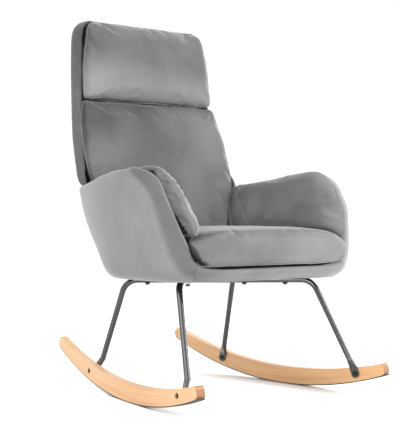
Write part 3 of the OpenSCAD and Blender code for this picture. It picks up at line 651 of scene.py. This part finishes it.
def pad_body(name, zs, half, front, crown, back, rx, bulge=0.0, nx=72, nside=10, top_r=16, bot_r=10):
    """Crowned pad: zs are heights; half, front, crown and back are functions of z."""
    z0, z1 = zs[0], zs[-1]
    rows = []
    for zi in zs:
        ins = rounded(z1 - zi, top_r, 0) + rounded(zi - z0, bot_r, 0)
        a = float(half(zi)) - 0.55 * ins
        yb = float(back(zi))
        yf = float(front(zi)) + ins
        cr = float(crown(zi))
        q = np.sin(np.linspace(-0.5, 0.5, nx) * np.pi)
        x = a * q
        edge = rounded(a - np.abs(x), rx, 0)
        y = yf - cr * (1 - np.abs(q) ** 2.6) + edge * 0.9
        y = np.minimum(y, yb - 0.5)
        ye = y[-1]
        side = np.linspace(0, 1, nside)[1:]
        ys = ye + (yb - ye) * side
        rim = float(back_rim(zi))                 # narrower where it goes in behind the rim
        tuck = 9 * smooth(rim - 16, rim - 4, ys) * float(smooth(560, 640, zi))
        right = np.stack([np.full(nside - 1, a) + bulge * np.sin(np.pi * side) - tuck, ys, np.full(nside - 1, zi)], -1)
        left = right[::-1] * np.array([-1, 1, 1])
        rows.append(np.concatenate([np.stack([x, y, np.full(nx, zi)], -1), right, left]))
    P = np.array(rows)
    o = make(name, P, tube_faces(len(zs), P.shape[1]))
    return outward(o)


def ends_dense(z0, z1, n, e=16.0, k=9):
    th = np.linspace(0, np.pi / 2, k)[:-1]
    lo = z0 + e * (1 - np.cos(th))
    hi = z1 - e * (1 - np.cos(th))[::-1]
    return np.concatenate([lo, np.linspace(z0 + e, z1 - e, n), hi])


def bp_hw(z):
    return curve([[392, 170], [440, 188], [480, 208], [520, 225], [560, 241], [593, 248], [662, 249], [748, 240],
                  [800, 231], [810, 225]], z)


def bp_front(z):
    return curve([[392, 148], [440, 174], [480, 195], [520, 210], [560, 221], [593, 232], [662, 254], [748, 282],
                  [800, 303], [810, 309]], z)


def bp_crown(z):
    return curve([[392, 8], [440, 18], [520, 26], [662, 28], [760, 26], [800, 18], [810, 13]], z)


def hp_hw(z):
    return curve([[812, 217], [820, 222], [870, 221], [921, 218], [980, 209], [1019, 201], [1032, 192], [1040, 172]], z)


def hp_front(z):
    return curve([[812, 303], [820, 303], [870, 306], [921, 311], [980, 318], [1019, 326], [1032, 333], [1040, 342]], z)


def hp_crown(z):
    return curve([[812, 22], [835, 30], [900, 34], [980, 28], [1019, 18], [1040, 8]], z)


def back_pad():
    return pad_body("back_pad_cover", ends_dense(392, 810.5, 130, 12), bp_hw, bp_front, bp_crown,
                    lambda z: max(float(back_line(z)) - 2.5, float(bp_front(z)) + 3), 13, 1.0, top_r=7, bot_r=12)


def headrest_pad():
    return pad_body("headrest_cover", ends_dense(812.5, 1040.5, 84, 16), hp_hw, hp_front, hp_crown,
                    lambda z: min(float(back_line(z)), 363) - 2.5, 15, 1.5, top_r=14, bot_r=6)


# Arm pads: a thick slab on the inside of the shell with a full round edge.
# pad_edge is the outline in side view, pad_in the inner face near the seat.
def pad_edge(y):
    return curve([[-240, 444], [-235, 458], [-226, 484], [-210, 515], [-190, 547], [-165, 578], [-133, 600],
                  [-98, 608], [-46, 607], [0, 603], [84, 592], [160, 582], [226, 575]], y)


def pad_in(y):
    return curve([[-240, 234], [-228, 221], [-203, 210], [-150, 204], [60, 203], [140, 201], [215, 199]], y)


def pad_foot(y):
    return curve([[-240, 441], [-228, 438], [-205, 440], [-150, 440], [-60, 437], [60, 431], [140, 428], [184, 444],
                  [226, 506]], y)


def shell_inner_x(y, z, gap):
    t = float(wall(z)) + gap
    a = float(hw(z)) - t
    b = float(front_y(z) if y < 0 else rear_y(z)) - t
    n = float(front_n(z)) if y < 0 else 4.0
    return a * max(1 - min(abs(y) / b, 0.999) ** n, 0.0) ** (1 / n)


# Inner edge of the rim by height: it limits whatever stands in front of it.
RIM_X = [[355, 228], [367, 235], [388, 241], [400, 242], [421, 246], [458, 254], [499, 263], [544, 273], [568, 282],
         [590, 295]]
RIM_Y = [[355, -222], [367, -212], [388, -204], [400, -201], [421, -194], [458, -176], [499, -154], [544, -135],
         [568, -125], [590, -106]]


def round_edge(d, r):
    q = 1 - np.clip(d / r, 0, 1)
    return np.sqrt(np.maximum(1 - q * q, 0))


def arm_pad():
    yl = np.linspace(-240, 226, 260)
    line = np.stack([yl, pad_edge(yl)], -1)
    ys = np.concatenate([-240 + 24 * (1 - np.cos(np.linspace(0.0, np.pi / 2, 16))), np.linspace(-212, 226, 116)])
    u = (1 - np.cos(np.linspace(0, np.pi, 44))) / 2
    rows = []
    for y in ys:
        z0 = float(pad_foot(y))
        zt = max(float(pad_edge(y)), z0 + 4)
        z = z0 + (zt - z0) * u
        q = (z - z0) / max(zt - z0, 60)
        k = (zt - z0) / 175
        xin = float(pad_in(y)) + max(0, z0 - 428) * 0.32 + k * (62 * q**1.7)
        yr = curve(RIM_Y, z)
        xo = np.array([shell_inner_x(max(y, float(r)), float(zz), 2.5) for zz, r in zip(z, yr)])
        front = np.maximum(yr - y, 0)
        xo = np.minimum(xo, 330) - front * 0.04
        xo = np.maximum(xo, xin + 10)
        mid, half = (xin + xo) / 2, (xo - xin) / 2
        d = np.min(np.hypot(line[:, 0][None] - y, line[:, 1][None] - z[:, None]), axis=1)
        d = np.where(z >= zt - 1e-6, 0, d)
        prof = round_edge(d, np.maximum(half * 1.05, 20)) * round_edge(z - z0 + 0.01, 13) * (0.25 + 0.75 * round_edge(226.2 - y, 12))
        a = np.stack([mid - half * prof, np.full_like(z, y), z], -1)
        b = np.stack([mid + half * prof, np.full_like(z, y), z], -1)
        for side in (a, b):                      # hangs lower outside the cushion
            side[:, 2] -= 16 * smooth(222, 256, side[:, 0]) * (1 - u) ** 2
        b = b[::-1]
        rows.append(np.concatenate([a, b[1:-1]]))
    P = np.array(rows)
    o = make("arm_pad_cover_right", P, tube_faces(len(ys), P.shape[1]))
    return outward(o)


# Seat cushion
def seat_cushion():
    """Box cushion: levels from the bottom seam up, then the crown."""
    lev = [(355.8, 236, -240, 110, 0.34), (357.5, 248, -250, 116, 0.31), (361, 258, -256, 122, 0.28),
           (367, 265, -260, 127, 0.26), (376, 270, -263, 131, 0.25), (388, 273, -264.5, 136, 0.24),
           (400, 273, -264.5, 139, 0.24), (410, 270, -262, 141, 0.25), (418, 263, -257.5, 141, 0.27),
           (426, 251, -248.5, 139, 0.30), (433, 233, -236, 134, 0.34), (438.5, 209, -218, 126, 0.38),
           (442.5, 180, -193, 112, 0.42), (445.3, 144, -158, 92, 0.46), (446.7, 94, -110, 62, 0.52),
           (447.2, 40, -58, 20, 0.6)]
    lv = np.array(lev)
    t = np.linspace(0, len(lev) - 1, 92)
    k = np.arange(len(lev))
    cols = [curve(np.stack([k, lv[:, j]], 1), t) for j in range(5)]
    n = 200
    f = np.linspace(0, 360, n, endpoint=False) - 90
    c, s = np.cos(np.radians(f)), np.sin(np.radians(f))
    rows = []
    for z, a, yf, yr, e in zip(*cols):
        x0 = np.sign(c) * np.abs(c) ** e
        y0 = np.sign(s) * np.abs(s) ** e
        y = (yf + yr) / 2 + (yr - yf) / 2 * y0
        x = a * x0 * (1 - 0.22 * np.maximum(0, (y + 195) / 330) ** 1.1)
        yr = float(curve(RIM_Y, z))
        lim = np.array([shell_inner_x(max(yy, yr), float(z), 3.0) + 26 * float(smooth(yr - 4, yr - 34, yy)) for yy in y])
        x = np.sign(x) * np.minimum(np.abs(x), lim)
        rows.append(np.stack([x, y, np.full(n, z)], -1))
    P = np.array(rows)
    o = make("seat_cushion_cover", P, tube_faces(len(rows), n))
    return outward(o)


# ------------------------------------------------------- fabric over filling
def bake(o):
    dg = bpy.context.evaluated_depsgraph_get()
    me = bpy.data.meshes.new_from_object(o.evaluated_get(dg), depsgraph=dg)
    old = o.data
    o.modifiers.clear()
    o.data = me
    bpy.data.meshes.remove(old)
    me.shade_smooth()
    return o


def even_mesh(o, voxel):
    m = o.modifiers.new("even", "REMESH")
    m.mode = "VOXEL"
    m.voxel_size = voxel
    bake(o)
    m = o.modifiers.new("ease", "SMOOTH")
    m.factor = 0.5
    m.iterations = 4
    return bake(o)


def puff(o, cap, free, pressure=4.0, frames=20, slack=0.0, bend=0.5, side=1.0):
    """Lets the cover swell as cloth. free(P) is 1 where it may move."""
    base = coords(o)
    w = np.clip(free(local_mm(o)), 0, 1)
    vg = o.vertex_groups.new(name="held")
    for i in np.nonzero(w < 0.99)[0]:
        vg.add([int(i)], float(1 - w[i]), "REPLACE")
    m = o.modifiers.new("cover", "CLOTH")
    st = m.settings
    st.quality = 4
    st.mass = 0.25
    st.tension_stiffness = st.compression_stiffness = 12
    st.shear_stiffness = 5
    st.bending_stiffness = bend
    st.vertex_group_mass = "held"
    st.use_pressure = True
    st.uniform_pressure_force = pressure
    st.effector_weights.gravity = 0
    if slack:
        st.shrink_min = -slack
    m.collision_settings.use_collision = False
    m.collision_settings.use_self_collision = False
    m.point_cache.frame_start = 1
    m.point_cache.frame_end = frames
    sc = bpy.context.scene
    sc.frame_start, sc.frame_end = 1, frames
    for f in range(1, frames + 1):
        sc.frame_set(f)
    ev = o.evaluated_get(bpy.context.evaluated_depsgraph_get())
    new = np.empty(len(base) * 3)
    ev.data.vertices.foreach_get("co", new)
    d = new.reshape(-1, 3) - base
    L = np.linalg.norm(d, axis=1)[:, None] * 1000
    d = d * np.minimum(1, cap / np.maximum(L, 1e-6))
    d[:, 0] *= side
    o.modifiers.clear()
    o.vertex_groups.clear()
    sc.frame_set(1)
    set_coords(o, base + d)
    return o


def subdivide(o):
    m = o.modifiers.new("finer", "SUBSURF")
    m.levels = m.render_levels = 1
    return bake(o)


def groove(d, width, depth):
    return -depth * np.exp(-(d / width) ** 2)


# Build
def arm_tone(o, side):
    P = local_mm(o)
    x, y, z = P.T
    n = normals(o)
    yb = curve([[317, -232], [338, -222], [372, -204], [418, -191], [480, -171], [540, -141], [590, -60]], z)
    # painted light and shade: front band darker on the left arm and lighter on the right arm, surface lighter towards
    # the rear
    band = smooth(-14, 14, yb - y) * smooth(0.0, 0.3, side * n[:, 0] + 0.6)
    v = 0.16 + 0.30 * smooth(-40, 210, y) + 0.06 * wave(P, 300, 21, 2)
    v = v - (0.46 * band if side < 0 else -0.75 * band)
    v = v - 0.95 * smooth(0.55, 0.9, -side * n[:, 0])         # painted shade on the inside of the wall, down in the gap
    pile_and_painted_light(o, v)


def arm_folds(P, side):
    """Height of the pulls in the outer cover; the same field on every shell
    piece, so they meet without a step. Points are for the right side."""
    Q = P * np.array([side, 1, 1])
    z = Q[:, 2]
    h = 0.9 * wave(P, 260, 11) + 0.35 * wave(P, 90, 12)
    h += groove(z - 323, 5, 0.9)
    folds = [((300, -205, 470), (286, -228, 412), 6, 1.3), ((306, -188, 505), (293, -214, 448), 6, 1.0),
             ((290, -226, 400), (268, -248, 352), 7, 1.2), ((297, -225, 378), (262, -252, 334), 6, 1.1),
             ((278, -240, 350), (246, -252, 327), 5, 1.1), ((262, -246, 360), (232, -254, 336), 5, 1.2),
             ((244, -250, 352), (216, -254, 330), 4.5, 1.0), ((318, -150, 530), (306, -186, 470), 8, 0.8)]
    if side > 0:
        folds = folds[3:7]
    for a, b, w, d in folds:
        h += crease(Q, [a, b], w, d, 0.45)
    return h


arm_r = arm_shell()
arm_l = mirror_x(arm_r, "arm_cover_left")
for a_, s_ in ((arm_r, 1), (arm_l, -1)):
    displace(a_, arm_folds(local_mm(a_), s_))
    arm_tone(a_, s_)
dress(arm_r, "arm_shell_right")
dress(arm_l, "arm_shell_left")

bord = front_border()
P = local_mm(bord)
displace(bord, np.where(P[:, 0] > 0, arm_folds(P, 1), arm_folds(P, -1)))
n_ = normals(bord)
# painted light and shade: darker to the left, lighter to the right, painted shade on the inside of the wall that faces
# back
pile_and_painted_light(bord, 0.16 + 0.06 * wave(P, 200, 32, 2) - 0.20 * smooth(-120, -230, P[:, 0]) + 0.22 * smooth(0, 240, P[:, 0])
    - 0.9 * smooth(0.55, 0.9, n_[:, 1]))
dress(bord, "front_border")

back = back_shell()
P = local_mm(back)
displace(back, 0.8 * wave(P, 240, 41) * smooth(560, 620, P[:, 2]))
# painted shade: the left side of the back cover darker
pile_and_painted_light(back, 0.06 * wave(P, 260, 42, 2) - 0.42 * smooth(-150, -215, P[:, 0]) - 0.06)
dress(back, "back_shell")

# back pad
bpad = even_mesh(back_pad(), 0.006)
puff(bpad, 6, lambda P: smooth(1.0, 14.0, curve([[339, 118], [400, 160], [480, 207], [560, 248], [622, 281],
     [694, 318], [781, 343], [897, 357]], P[:, 2]) - 3 - P[:, 1]), slack=0.01, side=0.2)
subdivide(bpad)
P = local_mm(bpad)
x, y, z = P.T
h = 0.8 * wave(P, 220, 51) + 0.3 * wave(P, 80, 52)
r_ = np.random.default_rng(5)
q = np.stack([x, np.zeros_like(x), z], -1)
for x0, ln, w, d in [(-103, 15, 3, 1.0), (-70, 22, 3, 1.2), (-58, 12, 3, 1.0), (-20, 30, 4, 0.9), (6, 44, 3.4, 1.5),
                     (24, 60, 3.6, 2.2), (37, 38, 3, 1.6), (52, 64, 3.6, 2.2), (66, 30, 3, 1.8), (78, 56, 3.4, 2.4),
                     (97, 46, 3.4, 1.8), (112, 24, 3, 1.6), (127, 48, 3.4, 2.2), (146, 30, 3, 1.5), (160, 42, 3.4, 2.0),
                     (177, 26, 3, 1.8), (190, 40, 3.2, 1.6), (204, 20, 3, 1.4), (-150, 18, 3, 0.6), (-186, 26, 4, 0.8)]:
    h += crease(q, [(x0, 0, 806), (x0 + 0.22 * ln, 0, 806 - 0.45 * ln), (x0 + 0.30 * ln, 0, 806 - ln)],
                w, d, 0.5) * (y < 325)
for a, b, w, d in [((-200, 770), (-182, 705), 5, 0.8), ((-214, 752), (-203, 690), 4, 0.7), ((-185, 795), (-158, 752), 5, 0.7),
                   ((-238, 612), (-226, 618), 2.6, 0.9), ((-240, 602), (-224, 604), 2.6, 1.0), ((-236, 624), (-228, 634), 2.6, 0.7)]:
    h += crease(q, [(a[0], 0, a[1]), (b[0], 0, b[1])], w, d, 0.5) * (y < 325)
for z0 in np.arange(610, 800, 15.0):
    zz = z0 + r_.uniform(-4, 4)
    xs = -float(bp_hw(zz))
    h += crease(q, [(xs, 0, zz), (xs + r_.uniform(10, 22), 0, zz + r_.uniform(-6, 4))], 2.6, r_.uniform(0.4, 0.9), 0.5) * (y < 330)
displace(bpad, h)
n_ = normals(bpad)
# painted light and shade: top left darker, lower middle and lower right lighter, sides lighter or darker by their
# facing, painted shade along the seam under the headrest and on the lower side by the arm
pile_and_painted_light(bpad, -0.30 + 0.06 * smooth(-160, 200, x) - 0.26 * smooth(620, 780, z) * smooth(120, -140, x)
    + 0.30 * smooth(600, 470, z) * smooth(-120, 60, x) + 0.10 * wave(P, 260, 53, 2) + 0.25 * smooth(0.55, 0.95, n_[:, 0])
    - 0.25 * smooth(0.6, 0.95, -n_[:, 0]) - 0.95 * smooth(802.5, 806.5, z)
    - 0.95 * smooth(0.36, 0.60, n_[:, 0]) * smooth(590, 575, z)
    + 0.55 * smooth(110, 190, x) * smooth(620, 500, z))
dress(bpad, "back_pad")

hpad = even_mesh(headrest_pad(), 0.006)
puff(hpad, 6, lambda P: smooth(1.0, 14.0, np.minimum(curve([[781, 343], [897, 357], [1000, 364]], P[:, 2]), 363) - 3 - P[:, 1]),
     slack=0.007, side=0.2)
subdivide(hpad)
P = local_mm(hpad)
x, y, z = P.T
h = 0.8 * wave(P, 200, 61) + 0.25 * wave(P, 70, 62)
q = np.stack([x, np.zeros_like(x), z], -1)
for x0, ln, w, d in [(-172, 18, 3, 1.2), (-163, 30, 3, 1.3), (-150, 14, 3, 1.0), (-70, 34, 3.2, 1.4), (-60, 16, 3, 1.0),
                     (-44, 30, 3.2, 1.5), (-22, 36, 3.4, 1.4), (-10, 14, 3, 0.8), (6, 26, 3, 1.0), (70, 16, 3, 0.6), (140, 20, 3, 0.8)]:
    h += crease(q, [(x0, 0, 1033), (x0 + 0.34 * ln, 0, 1033 - ln)], w, d, 0.5)
for x0, ln in [(-170, 9), (-120, 14), (-61, 10), (-18, 17), (44, 9), (92, 15), (150, 20), (168, 12)]:
    h += crease(q, [(x0, 0, 816), (x0 + 0.3 * ln, 0, 818 + ln)], 3.2, 0.7, 0.5)
h += crease(q, [(-204, 0, 1000), (-196, 0, 940)], 6, 1.2, 0.5)
displace(hpad, h)
n_ = normals(hpad)
# lower half lighter and upper half darker; sides lighter or darker by their facing (painted light and shade); painted
# shade along the bottom seam
pile_and_painted_light(hpad, -0.28 + 0.58 * smooth(945, 835, z + 0.10 * x) + 0.05 * wave(P, 200, 63, 2) + 0.25 * smooth(0.5, 0.9, n_[:, 0])
    - 0.20 * smooth(0.6, 0.95, -n_[:, 0]) - 0.9 * smooth(816, 813.5, z))
dress(hpad, "headrest_pad")

# arm pads: one is swelled, then mirrored; the folds are drawn on each
apad_r = even_mesh(arm_pad(), 0.005)
puff(apad_r, 5, lambda P: smooth(2, 16, P[:, 2] - pad_foot(P[:, 1])) * smooth(2, 14, 224 - P[:, 1]), slack=0.007)
subdivide(apad_r)
apad_l = mirror_x(apad_r, "arm_pad_cover_left")


def dive(P, dx, dy, w=7):
    """1 where a piece goes down behind the rim, for the shade of that gap."""
    ax, y, z = np.abs(P[:, 0]), P[:, 1], P[:, 2]
    rx, ry = curve(RIM_X, z), curve(RIM_Y, z)
    return smooth(rx - dx - w, rx - dx, ax) * smooth(ry - dy - w, ry - dy, y) * smooth(598, 584, z)


P = local_mm(apad_l)
h = 0.5 * wave(P, 120, 71)
for a, b, w, d in [((-132, 590), (-144, 590), 3.6, 1.6), ((-139, 584), (-158, 580), 3.8, 3.0),
                   ((-144, 576), (-168, 570), 3.6, 3.2), ((-150, 564), (-176, 556), 4.0, 3.6),
                   ((-157, 551), (-180, 546), 3.4, 2.4), ((-164, 536), (-186, 529), 3.8, 2.0),
                   ((-173, 514), (-190, 513), 3.6, 1.6), ((-181, 496), (-196, 498), 3.6, 1.0),
                   ((-190, 474), (-204, 478), 3.6, 1.2), ((-200, 446), (-218, 456), 3.0, 2.2),
                   ((-212, 440), (-224, 451), 3.0, 2.0), ((-222, 438), (-230, 446), 3.0, 1.6)]:
    h += crease(P * [0, 1, 1], [(0,) + a, (0,) + b], w, d, 0.4) * (P[:, 0] < -222)
displace(apad_l, h)
n_ = normals(apad_l)
# painted light and shade: lighter where it faces right and front, painted shade where it goes down behind the rim
pile_and_painted_light(apad_l, -0.36 + 0.06 * wave(P, 150, 72, 2) + 0.30 * smooth(0.05, 0.75, n_[:, 0])
    + 0.28 * smooth(0.3, 0.8, -n_[:, 1]) - 0.97 * dive(P, 13 - 6 * smooth(490, 560, P[:, 2]), 27 - 14 * smooth(480, 560, P[:, 2])))
P = local_mm(apad_r)
h = 0.6 * wave(P, 150, 73)
for pts, w, d in [([(223, 8, 516), (214, 58, 488), (206, 108, 461)], 2.8, 2.2),
                  ([(240, -150, 520), (228, -110, 480)], 7, 0.5), ([(222, -200, 470), (214, -160, 450)], 6, 0.6)]:
    h += crease(P, pts, w, d, 0.3)
displace(apad_r, h)
n_ = normals(apad_r)
# painted light and shade: lighter towards the front and on the top, painted shade where it goes down behind the rim and
# at the rear end by the back
pile_and_painted_light(apad_r, -0.32 + 0.10 * wave(P, 120, 74, 3) + 0.16 * smooth(-120, -215, P[:, 1]) + 0.25 * smooth(0.4, 0.9, n_[:, 2])
    - 0.8 * dive(P, 8, 6) - 0.8 * smooth(212, 221, P[:, 1]))
dress(apad_r, "arm_pad_right")
dress(apad_l, "arm_pad_left")

# black lining over the deck, tucked down beside the foam; its black also stands in for shade in the gaps round the
# cushion (painted shade)
def deck_lining():
    f = np.linspace(-90, 60, 90)
    e = np.array([ring(352.0, fi, float(wall(352)) + 1.0) for fi in f])
    e = np.concatenate([e, [[150, 134, 352], [110, 136, 352], [60, 137, 352]]])
    edge = np.concatenate([e, (e * [-1, 1, 1])[::-1]])
    c0 = np.array([0.0, -40.0, 0.0])
    rows = []
    for t, z in [(0.0, 338), (0.02, 343), (0.05, 348.5), (0.09, 352.2), (0.14, 353.1), (0.5, 353.2), (0.99, 353.2)]:
        r = edge + (c0 - edge) * t
        r[:, 2] = z
        rows.append(r)
    for t, z in [(0.99, 352.3), (0.5, 352.3), (0.14, 352.2), (0.09, 351.3), (0.05, 347.6), (0.02, 342.2), (0.0, 337)]:
        r = edge + (c0 - edge) * t
        r[:, 2] = z
        rows.append(r)
    P = np.array(rows)
    o = make("deck_lining", P, tube_faces(len(rows), P.shape[1], caps=False))
    return outward(o)


dress(deck_lining(), slot="lining", mat=LINING_AND_GAP_SHADE)


# painted shade: dark rings on the wood round the four sunk nuts, standing in for the shade of their recesses
def nut_recess_shade_rings():
    def points(n):
        a = np.array([tuple(nodes[n].matrix_world @ v.co) for v in nodes[n].data.vertices]) * 1000
        a[:, 1] += OY
        return a
    nut = points("rocker_sleeve_nuts")
    th = np.linspace(0, 2 * np.pi, 48, endpoint=False)[:, None]
    V, F = [], []
    for sx, rocker in ((-1, "rocker_left"), (1, "rocker_right")):
        wood = points(rocker)
        a = np.array([sx * np.cos(np.radians(7)), np.sin(np.radians(7)), 0.0])     # square to the rocker
        u, w = np.array([-a[1], a[0], 0.0]), np.array([0.0, 0.0, 1.0])
        for sy in (-1, 1):
            q = nut[(nut[:, 0] * sx > 0) & ((nut[:, 1] - OY) * sy > 0)]
            q = q[q @ a > (q @ a).max() - 0.5]
            m = [((q @ d).min() + (q @ d).max()) / 2 for d in (u, w)]
            near = np.hypot(wood @ u - m[0], wood @ w - m[1]) < 7.5
            face = (wood[near] @ a).max()
            for r, lift in ((5.9, -0.1), (5.9, 0.2), (7.3, 0.2), (7.3, -0.1), (5.9, -0.1)):
                V.append(u * m[0] + w * m[1] + a * (face + lift) + r * (np.cos(th) * u + np.sin(th) * w))
            k = (len(V) - 5) * 48
            F += [[i + k for i in f] for f in tube_faces(5, 48, caps=False)]
    return outward(make("nut_recess_shade_rings", np.concatenate(V), F))


dress(nut_recess_shade_rings(), slot="dark_hardware", mat=DARK_HW_AND_RECESS_SHADE)

# seat cushion
cush = even_mesh(seat_cushion(), 0.006)
puff(cush, 6, lambda P: smooth(2, 18, P[:, 2] - 357), slack=0.01)
subdivide(cush)
P = local_mm(cush)
x, y, z = P.T
h = 0.9 * wave(P, 230, 81) + 0.3 * wave(P, 80, 82)
out_ = (np.abs(y) > 150) | (np.abs(x) > 190)
q0 = np.stack([x, 0 * x, z], -1)
h += groove(z - 366, 2.4, 2.0) * out_ + 0.9 * np.exp(-((z - 371) / 3.2) ** 2) * out_
# double seam along the corner panel, seen on the left end
h += crease(q0, [(-262, 0, 426), (-250, 0, 403), (-236, 0, 375), (-218, 0, 364)], 2.2, 2.0) * (y < -120) * (x < -190)
h += crease(q0, [(-256, 0, 428), (-243, 0, 405), (-229, 0, 380), (-190, 0, 372)], 1.8, 1.2) * (y < -120) * (x < -180)
# gusset seam that climbs the left and right ends
q = np.stack([np.abs(x), y, z], -1)
h += crease(q, [(214, -247, 368), (240, -246, 380), (262, -232, 400), (266, -214, 424), (250, -190, 434), (236, -140, 438)],
            2.6, 2.2, 0.6)
for pts, w, d in [([(-219, -262, 404), (-226, -256, 388), (-233, -245, 372)], 3.0, 2.0), ([(-203, -263, 391), (-212, -260, 381), (-222, -250, 371)], 3.0, 1.8),
                  ([(-232, -252, 400), (-240, -246, 384)], 3.0, 1.4), ([(-190, -264, 384), (-200, -260, 372)], 3.4, 1.0),
                  ([(-101, -266, 402), (-104, -262, 374)], 7, 1.3), ([(-26, -266, 404), (-12, -254, 366)], 6, 1.3),
                  ([(60, -266, 396), (52, -258, 372)], 7, 0.9), ([(140, -266, 400), (132, -258, 372)], 7, 0.9),
                  ([(225, -255, 400), (214, -252, 376)], 4, 1.5), ([(240, -246, 404), (232, -245, 380)], 4, 1.3),
                  ([(-180, -245, 428), (-120, -256, 420)], 9, 0.8)]:
    h += crease(q0, [(p[0], 0, p[2]) for p in pts], w, d, 0.5) * (y < -200)
displace(cush, h)
n_ = normals(cush)
line = 374 + 2.0 * (-236 - x)                             # lower edge of the front panel on the left
# painted shade on the left end below that edge, in the gap by the rim
left_end_shade = smooth(5, -3, z - line) * smooth(-210, -222, x) * (y < -120) * smooth(427, 419, z)
# painted light and shade: lighter to the right, top darker, painted shade behind the rim, on the left end and along the
# bottom
pile_and_painted_light(cush, -0.02 + 0.34 * smooth(-180, 240, x) + 0.05 * wave(P, 200, 83, 2) - 0.60 * smooth(0.70, 0.97, n_[:, 2]) - 0.10
    - 0.62 * left_end_shade - 0.8 * dive(P, 8, 18 + 0.27 * (415 - z), 16) * (1 - 0.5 * left_end_shade)
    - 0.5 * smooth(363, 358, z))
dress(cush, "seat_cushion")

# ------------------------------------------------------------- stage, light
me = bpy.data.meshes.new("floor")
S = 9.0
me.from_pydata([(-S, -S, 0), (S, -S, 0), (S, S, 0), (-S, S, 0)], [], [(0, 1, 2, 3)])
floor = bpy.data.objects.new("floor", me)
bpy.context.scene.collection.objects.link(floor)
fm, fnt, fb = new_mat("floor_paint")
fn = noise_tex(fnt, obj_coord(fnt), 3, 2, 0.5)
fnt.links.new(ramp(fnt, fn, [(0.3, (0.86, 0.86, 0.86)), (0.7, (0.88, 0.88, 0.88))]), fb.inputs["Base Color"])
fb.inputs["Roughness"].default_value = 0.8
fb.inputs["Specular IOR Level"].default_value = 0.1
me.materials.append(fm)

world = bpy.data.worlds.new("studio")
bpy.context.scene.world = world
world.use_nodes = True
bg = world.node_tree.nodes["Background"]
bg.inputs["Color"].default_value = (1, 1, 1, 1)
bg.inputs["Strength"].default_value = 1.15


def area(name, loc, target, size, power, col=(1, 1, 1)):
    li = bpy.data.lights.new(name, "AREA")
    li.shape = "RECTANGLE"
    li.size, li.size_y = size
    li.energy = power
    li.color = col
    o = bpy.data.objects.new(name, li)
    bpy.context.scene.collection.objects.link(o)
    o.location = loc
    o.rotation_euler = (Vector(target) - Vector(loc)).to_track_quat("-Z", "Y").to_euler()
    return o


area("key", (-2.5, -0.7, 2.6), (0, 0, 0.5), (2.6, 2.6), 88)
area("fill", (1.7, -2.1, 1.1), (0, 0, 0.45), (1.4, 1.4), 52)
area("low", (-1.6, -2.4, 0.35), (0.25, 0, 0.10), (1.6, 0.5), 40)
area("top", (0.1, 0.1, 3.2), (0, 0, 0.3), (1.8, 1.8), 14)
area("rim", (2.2, 1.0, 1.5), (0, 0, 0.7), (1.0, 1.4), 50)

cam = bpy.data.cameras.new("camera")
cam.sensor_fit = "VERTICAL"
cam.sensor_height = 24
cam.lens = 57.11
cam.clip_end = 50
co = bpy.data.objects.new("camera", cam)
bpy.context.scene.collection.objects.link(co)
co.location = (-1.766, -2.261 - OY / 1000, 0.482)
co.rotation_euler = (math.radians(90 - 0.37), 0, math.radians(-37.14))
bpy.context.scene.camera = co
bpy.context.scene.view_settings.view_transform = "Standard"
bpy.context.scene.view_settings.look = "None"
